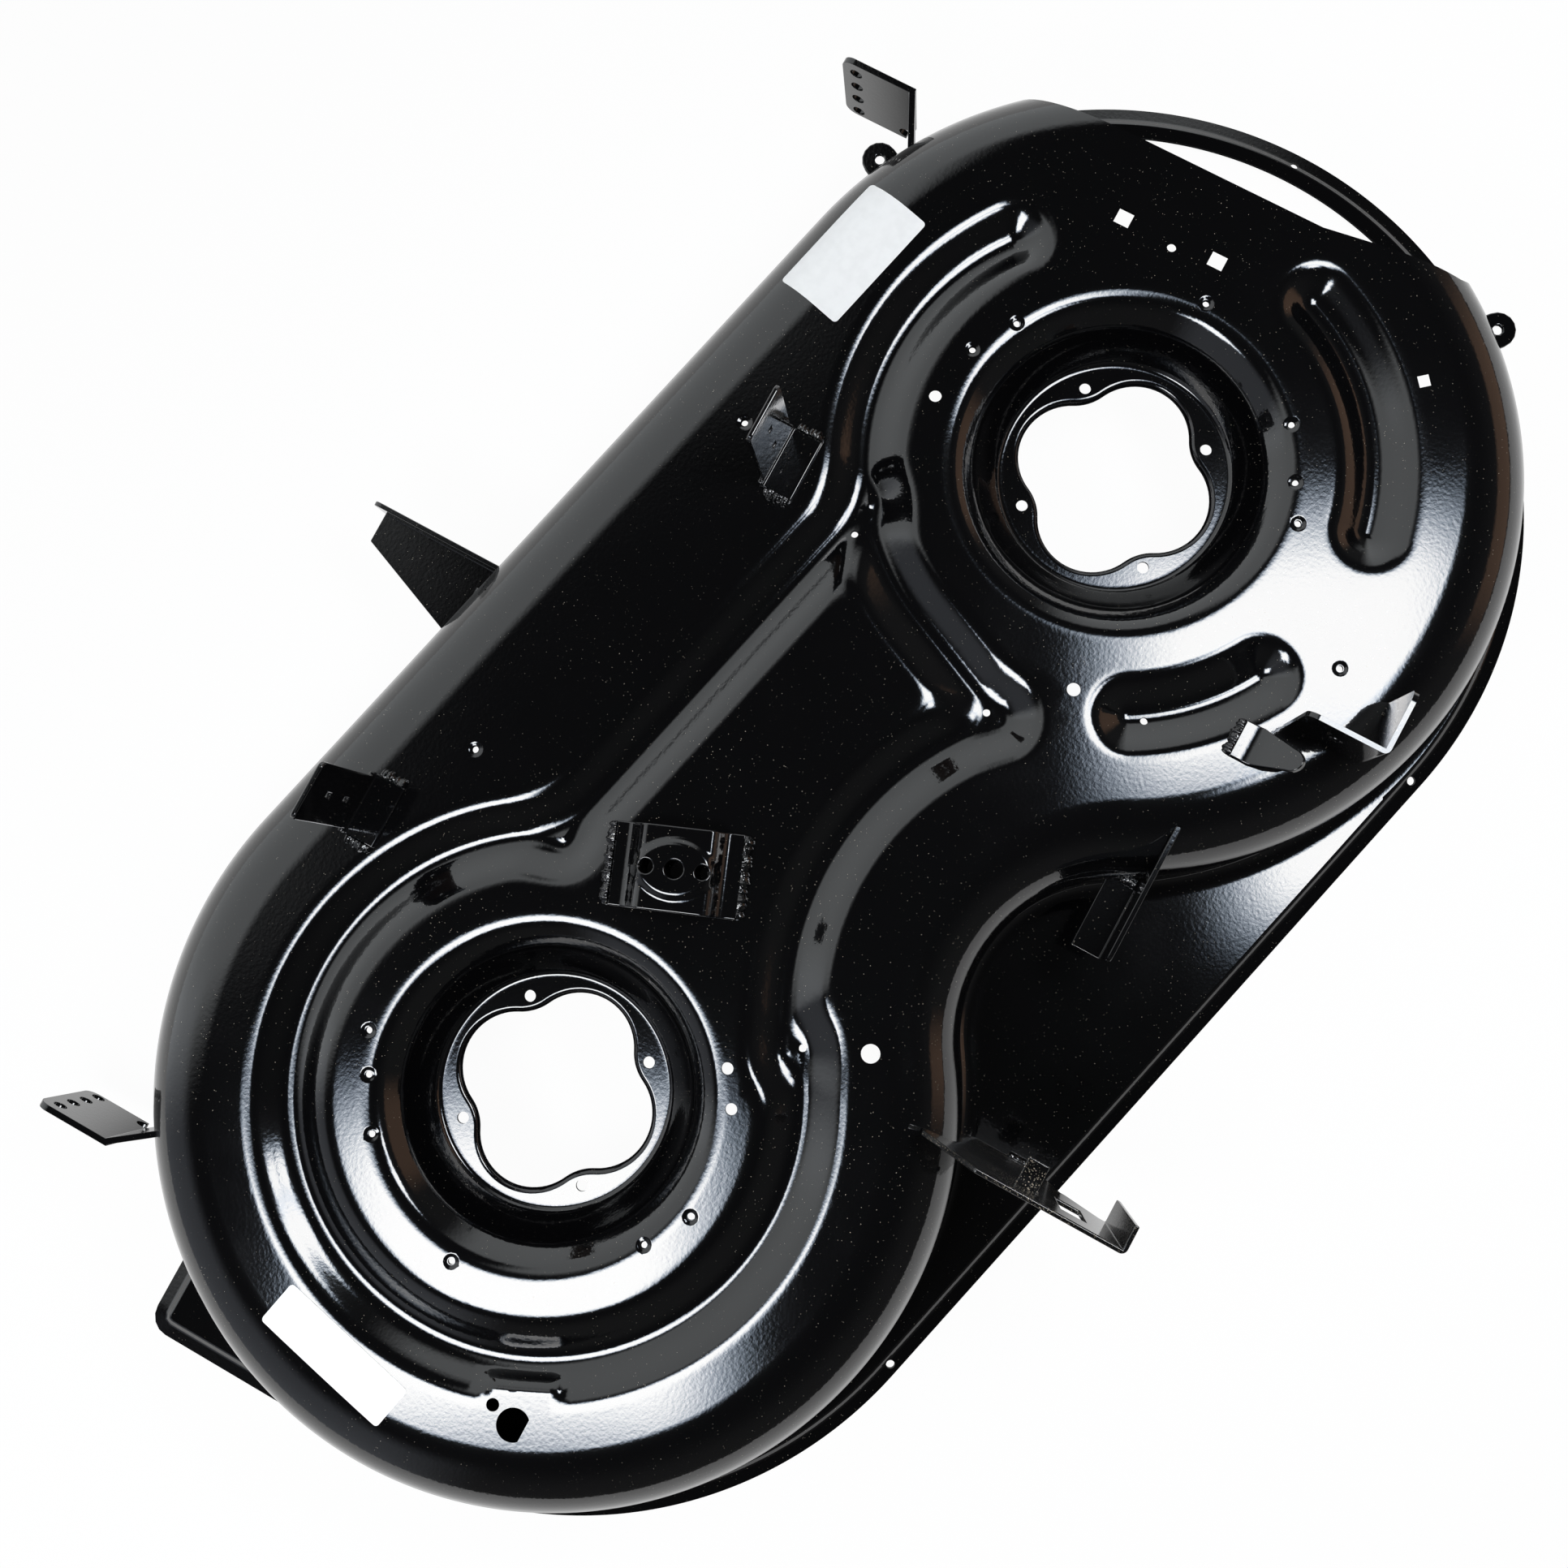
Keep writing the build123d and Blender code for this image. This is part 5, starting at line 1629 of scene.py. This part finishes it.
@dataclass
class Studio:
    """The camera of the photograph, a white floor and soft light."""

    frame_px: float = 1932.0
    focal_px: float = 2203.8
    centre_px: Point = (1017.6, 937.3)
    nadir_px: Point = (1135.9, 1150.4)
    eye: Place = (192.0, -152.6, 1105.8)
    heading: float = 28.5
    floor_z: float = -82.6
    # painted shadow: a dark spot in the floor's glow under the deck's closed left corner
    painted_shade_at: Point = (-214.0, -62.0)
    painted_shade_r: float = 24.0
    painted_shade_edge: float = 8.0
    # painted shade: how far out the floor's glow stays dimmed below the deck, as mirrored in the paint
    under: Point = (245.0, 330.0)
    overhead: Point = (0.86, 0.30)
    overhead_light: Point = (0.02, 0.07)
    spindle_gap: float = DeckShell.spindle_gap
    spindle_skew: float = DeckShell.spindle_skew
    softboxes: tuple[Softbox, ...] = (
        Softbox("left_softbox", (-431.0, 363.0), (417.0, 350.0), strength=15.0),
        Softbox("right_softbox", (399.0, -295.0), (374.0, 295.0), strength=14.5),
        Softbox("rear_softbox", (489.0, -99.0), (222.0, 182.0), 888.0, 120.0, 14.5),
    )
    fields: tuple[LightField, ...] = (
        LightField(125.0, 57.0, (0.75, 0.60), (-0.05, -0.10), 1.0, (0.96, 1.0, 1.02)),
        LightField(140.0, 40.0, (0.965, 0.865), (0.75, 0.60), 1.0, (0.96, 1.0, 1.02)),
        LightField(-152.0, 34.0, (0.75, 0.50), (0.0, -0.05), 0.30, (0.9, 0.97, 1.1)),
        LightField(14.0, 20.0, (0.45, 0.38), (0.03, 0.0), 0.45, (1.0, 0.58, 0.36)),
    )

    def camera(self) -> bpy.types.Object:
        """Place the camera: its axes come from where the straight-down direction lies in the picture.

        Returns:
            The camera.
        """
        lens = bpy.data.cameras.new("studio_camera")
        lens.sensor_width = 36.0
        lens.lens = 36.0 * self.focal_px / self.frame_px
        lens.shift_x = (self.frame_px / 2 - self.centre_px[0]) / self.frame_px
        lens.shift_y = (self.centre_px[1] - self.frame_px / 2) / self.frame_px
        lens.clip_start = 0.01
        nadir = (np.array(self.nadir_px) - np.array(self.centre_px)) / self.focal_px
        down = np.append(nadir, 1.0)
        down /= np.linalg.norm(down)
        across = np.array([1.0, 0.0, 0.0]) - down * down[0]
        across /= np.linalg.norm(across)
        below = np.cross(down, across)
        turn = math.radians(self.heading)
        world = np.column_stack([[math.sin(turn), -math.cos(turn), 0.0],
                                 [-math.cos(turn), -math.sin(turn), 0.0], [0.0, 0.0, -1.0]])
        to_world = world @ np.stack([across, below, down])
        axes = np.column_stack([to_world[:, 0], -to_world[:, 1], -to_world[:, 2]])
        camera = bpy.data.objects.new("studio_camera", lens)
        camera.matrix_world = mathutils.Matrix.LocRotScale(
            mathutils.Vector(self.eye) * MM, mathutils.Matrix(axes.tolist()), None)
        bpy.context.scene.collection.objects.link(camera)
        bpy.context.scene.camera = camera
        return camera

    def world(self) -> None:
        """Build the surroundings: white to the camera, and pale round about but dim overhead.

        Each field is a share by heading times a share by height, both with eased edges.
        """
        world = bpy.data.worlds.new("studio_world")
        bpy.context.scene.world = world
        world.use_nodes = True
        wires = Wiring(world.node_tree)
        where = wires.put("TexCoord").outputs["Generated"]
        turned = wires.put("VectorRotate", {"Vector": where, "Angle": math.radians(90.0 - self.heading)},
                           rotation_type="Z_AXIS").outputs["Vector"]
        parts = wires.put("SeparateXYZ", {"Vector": turned}).outputs
        light = wires.ease(parts["Z"], *self.overhead, self.overhead_light)
        colour = wires.put("CombineXYZ", {0: light, 1: light, 2: light}).outputs[0]
        level = wires.calc("MAXIMUM", wires.hypot(parts["X"], parts["Y"]), 0.001)
        for one in self.fields:
            turn = math.radians(one.heading)
            toward = wires.calc("ADD", wires.calc("MULTIPLY", parts["X"], math.cos(turn)),
                                wires.calc("MULTIPLY", parts["Y"], math.sin(turn)))
            far, near = (math.cos(math.radians(one.half_width + sign * one.softness)) for sign in (1.0, -1.0))
            share = wires.ease(wires.calc("DIVIDE", toward, level), far, near)
            share = wires.calc("MULTIPLY", share, wires.ease(parts["Z"], *one.upper))
            share = wires.calc("MULTIPLY", share, wires.ease(parts["Z"], one.lower[1], one.lower[0]))
            tint = tuple(one.strength * part for part in one.tint)
            glow = wires.put("VectorMath", {0: tint, "Scale": share}, operation="SCALE").outputs[0]
            colour = wires.put("VectorMath", {0: colour, 1: glow}, operation="ADD").outputs[0]
        path = wires.put("LightPath").outputs["Is Camera Ray"]
        shown = wires.put("Mix", {0: path}, data_type="VECTOR")
        shown.inputs[5].default_value = (1.0, 1.0, 1.0)
        wires.tree.links.new(colour, shown.inputs[4])
        wires.feed(world.node_tree.nodes["Background"], {"Color": shown.outputs[1], "Strength": 1.0})

    def floor(self) -> bpy.types.Object:
        """Build the plain white floor, which shows white to the camera and keeps a soft shadow.

        Mirrored in the paint, the floor carries painted shade below the deck: the share of white eases in
        with the distance from the line between the spindles. A painted shadow spot darkens the floor's glow
        under the deck's closed left corner, where it is seen through the holes there.

        Returns:
            The floor.
        """
        size = 6.0
        z = self.floor_z * MM
        corners = np.array([[-size, -size, z], [size, -size, z], [size, size, z], [-size, size, z]])
        piece = triangles_to_object("studio_floor", corners, np.array([[0, 1, 2], [0, 2, 3]]))
        material, wires, shader = new_material("studio_white")
        wires.feed(shader, {"Base Color": (0.9, 0.9, 0.9, 1.0), "Roughness": 0.9, "Specular IOR Level": 0.0})
        glow = wires.put("Emission", {"Strength": 1.0}).outputs["Emission"]
        path = wires.put("LightPath").outputs
        seen = wires.calc("MAXIMUM", path["Is Camera Ray"], path["Is Glossy Ray"])
        seen = wires.calc("MAXIMUM", seen, path["Is Transmission Ray"])
        where = wires.put("TexCoord").outputs["Object"]
        # painted shadow: the floor's glow is darkened in a soft spot under the closed left corner
        spot = (self.painted_shade_at[0] * MM, self.painted_shade_at[1] * MM, z)
        gap = wires.put("VectorMath", {0: where, 1: spot}, operation="DISTANCE").outputs["Value"]
        deep = wires.ease(gap, self.painted_shade_r * MM, (self.painted_shade_r + self.painted_shade_edge) * MM)
        # painted shade: the floor's glow is dimmed below and near the deck, for glossy rays only
        pressed = wires.put("VectorRotate", {"Vector": where, "Angle": math.radians(self.spindle_skew)},
                            rotation_type="Z_AXIS").outputs["Vector"]
        parts = wires.put("SeparateXYZ", {"Vector": pressed}).outputs
        held = wires.calc("MINIMUM", wires.calc("MAXIMUM", parts["X"], 0.0), self.spindle_gap * MM)
        beyond = wires.calc("SUBTRACT", parts["X"], held)
        reach = wires.hypot(beyond, parts["Y"])
        painted_shade_below = wires.ease(reach, self.under[1] * MM, self.under[0] * MM, (0.2, 1.0))
        lit = wires.calc("SUBTRACT", 1.0, wires.calc("MULTIPLY", painted_shade_below, path["Is Glossy Ray"]))
        deep = wires.calc("MULTIPLY", deep, lit)
        wires.feed(glow.node, {"Color": wires.put("CombineColor", {0: deep, 1: deep, 2: deep}).outputs[0]})
        share = wires.calc("MULTIPLY", seen, 0.96)
        mix = wires.put("MixShader", {0: share, 1: shader.outputs["BSDF"], 2: glow}).outputs["Shader"]
        wires.feed(material.node_tree.nodes["Material Output"], {"Surface": mix})
        piece.data.materials.append(material)
        return piece

    def build(self) -> None:
        """Set up the camera, surroundings and floor."""
        self.camera()
        self.world()
        self.floor()
        for box in self.softboxes:
            box.build(self.eye, self.heading)


def hand_over(piece: bpy.types.Object, material: bpy.types.Material, *nodes: str) -> None:
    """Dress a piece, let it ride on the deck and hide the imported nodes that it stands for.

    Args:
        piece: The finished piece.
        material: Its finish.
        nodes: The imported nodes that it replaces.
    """
    piece.data.materials.clear()
    piece.data.materials.append(material)
    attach(piece, "root")
    if nodes:
        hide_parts(*nodes)
    log.info("%s: %d faces", piece.name, len(piece.data.polygons))


def weld_beads() -> list[WeldBead]:
    """Give the straight weld beads at the feet of the tall, hat and tongue brackets.

    Returns:
        The beads, not yet built.
    """
    top, tall_half, tall_length = DeckShell.top_z, 20.5, 18.5
    feet = {}
    for name, (x, y) in (("front_left_welds", (99.5, 163.0)), ("front_right_welds", (405.0, 41.0))):
        ends = ((sign, x + sign * tall_half) for sign in (1.0, -1.0))
        feet[name] = tuple(((u, y, top), (u, y + tall_length, top), (sign, 0.0, 0.0)) for sign, u in ends)
    hat, tongue = IdlerBracket(), RearTongue()
    turn = math.radians(hat.turn)
    along = np.array([math.cos(turn), math.sin(turn), 0.0])
    beside = np.array([-along[1], along[0], 0.0]) * hat.size[1] / 2
    middle = np.array([*hat.at, top])
    ends = ((sign, middle + sign * hat.size[0] / 2 * along) for sign in (1.0, -1.0))
    feet["idler_welds"] = tuple((tuple(at - beside), tuple(at + beside), tuple(sign * along))
                                for sign, at in ends)
    x, y = tongue.at
    feet["tongue_weld"] = (((x - tongue.foot_half, y, top), (x + tongue.foot_half, y, top), (0.0, 1.0, 0.0)),)
    return [WeldBead(name + "_fine", (name,), runs) for name, runs in feet.items()]


def main() -> None:
    """Build the studio, the shell, the brackets and the labels, dress the pieces, hang them on the deck and
    hide the imported nodes that they replace.
    """
    logging.basicConfig(level=logging.INFO, format="%(name)s: %(message)s")
    bpy.context.scene.view_settings.view_transform = "Standard"
    Studio().build()
    paint = GlossPaint().build()
    bead_paint = GlossPaint(name="painted_weld_bead", lump_scale=380.0, lump_height=0.8).build()
    dusty_paint = GlossPaint(name="dusty_black_paint", dust=(0.50, 0.43, 0.33, 1.0), roughness=0.3,
                             coat_roughness=0.10, dust_scale=1300.0, dust_share=0.25,
                             speck_size=(0.16, 0.52)).build()
    label_stock = LabelStock().build()
    shell = DeckShell()
    hand_over(shell.build(), paint, "deck_shell")
    brackets = Brackets()
    softened = ((paint, brackets.nodes), (dusty_paint, brackets.dusty), (bead_paint, brackets.welds))
    for finish, nodes in softened:
        for node in nodes:
            hand_over(brackets.soften(node), finish, node)
    hand_over(IdlerBracket().build(), paint, "idler_bracket")
    hand_over(RearTongue().build(), paint, "rear_right_tongue")
    for bead in weld_beads():
        hand_over(bead.build(), bead_paint, *bead.nodes)
    for label in (BlankLabel("right_blank_label", (505.6, 210.3), (83.5, 46.0)),
                  BlankLabel("left_blank_label", (-193.8, -12.2), (28.3, 93.5), 1.6)):
        hand_over(label.build(shell), label_stock)


if __name__ == "__main__":
    main()
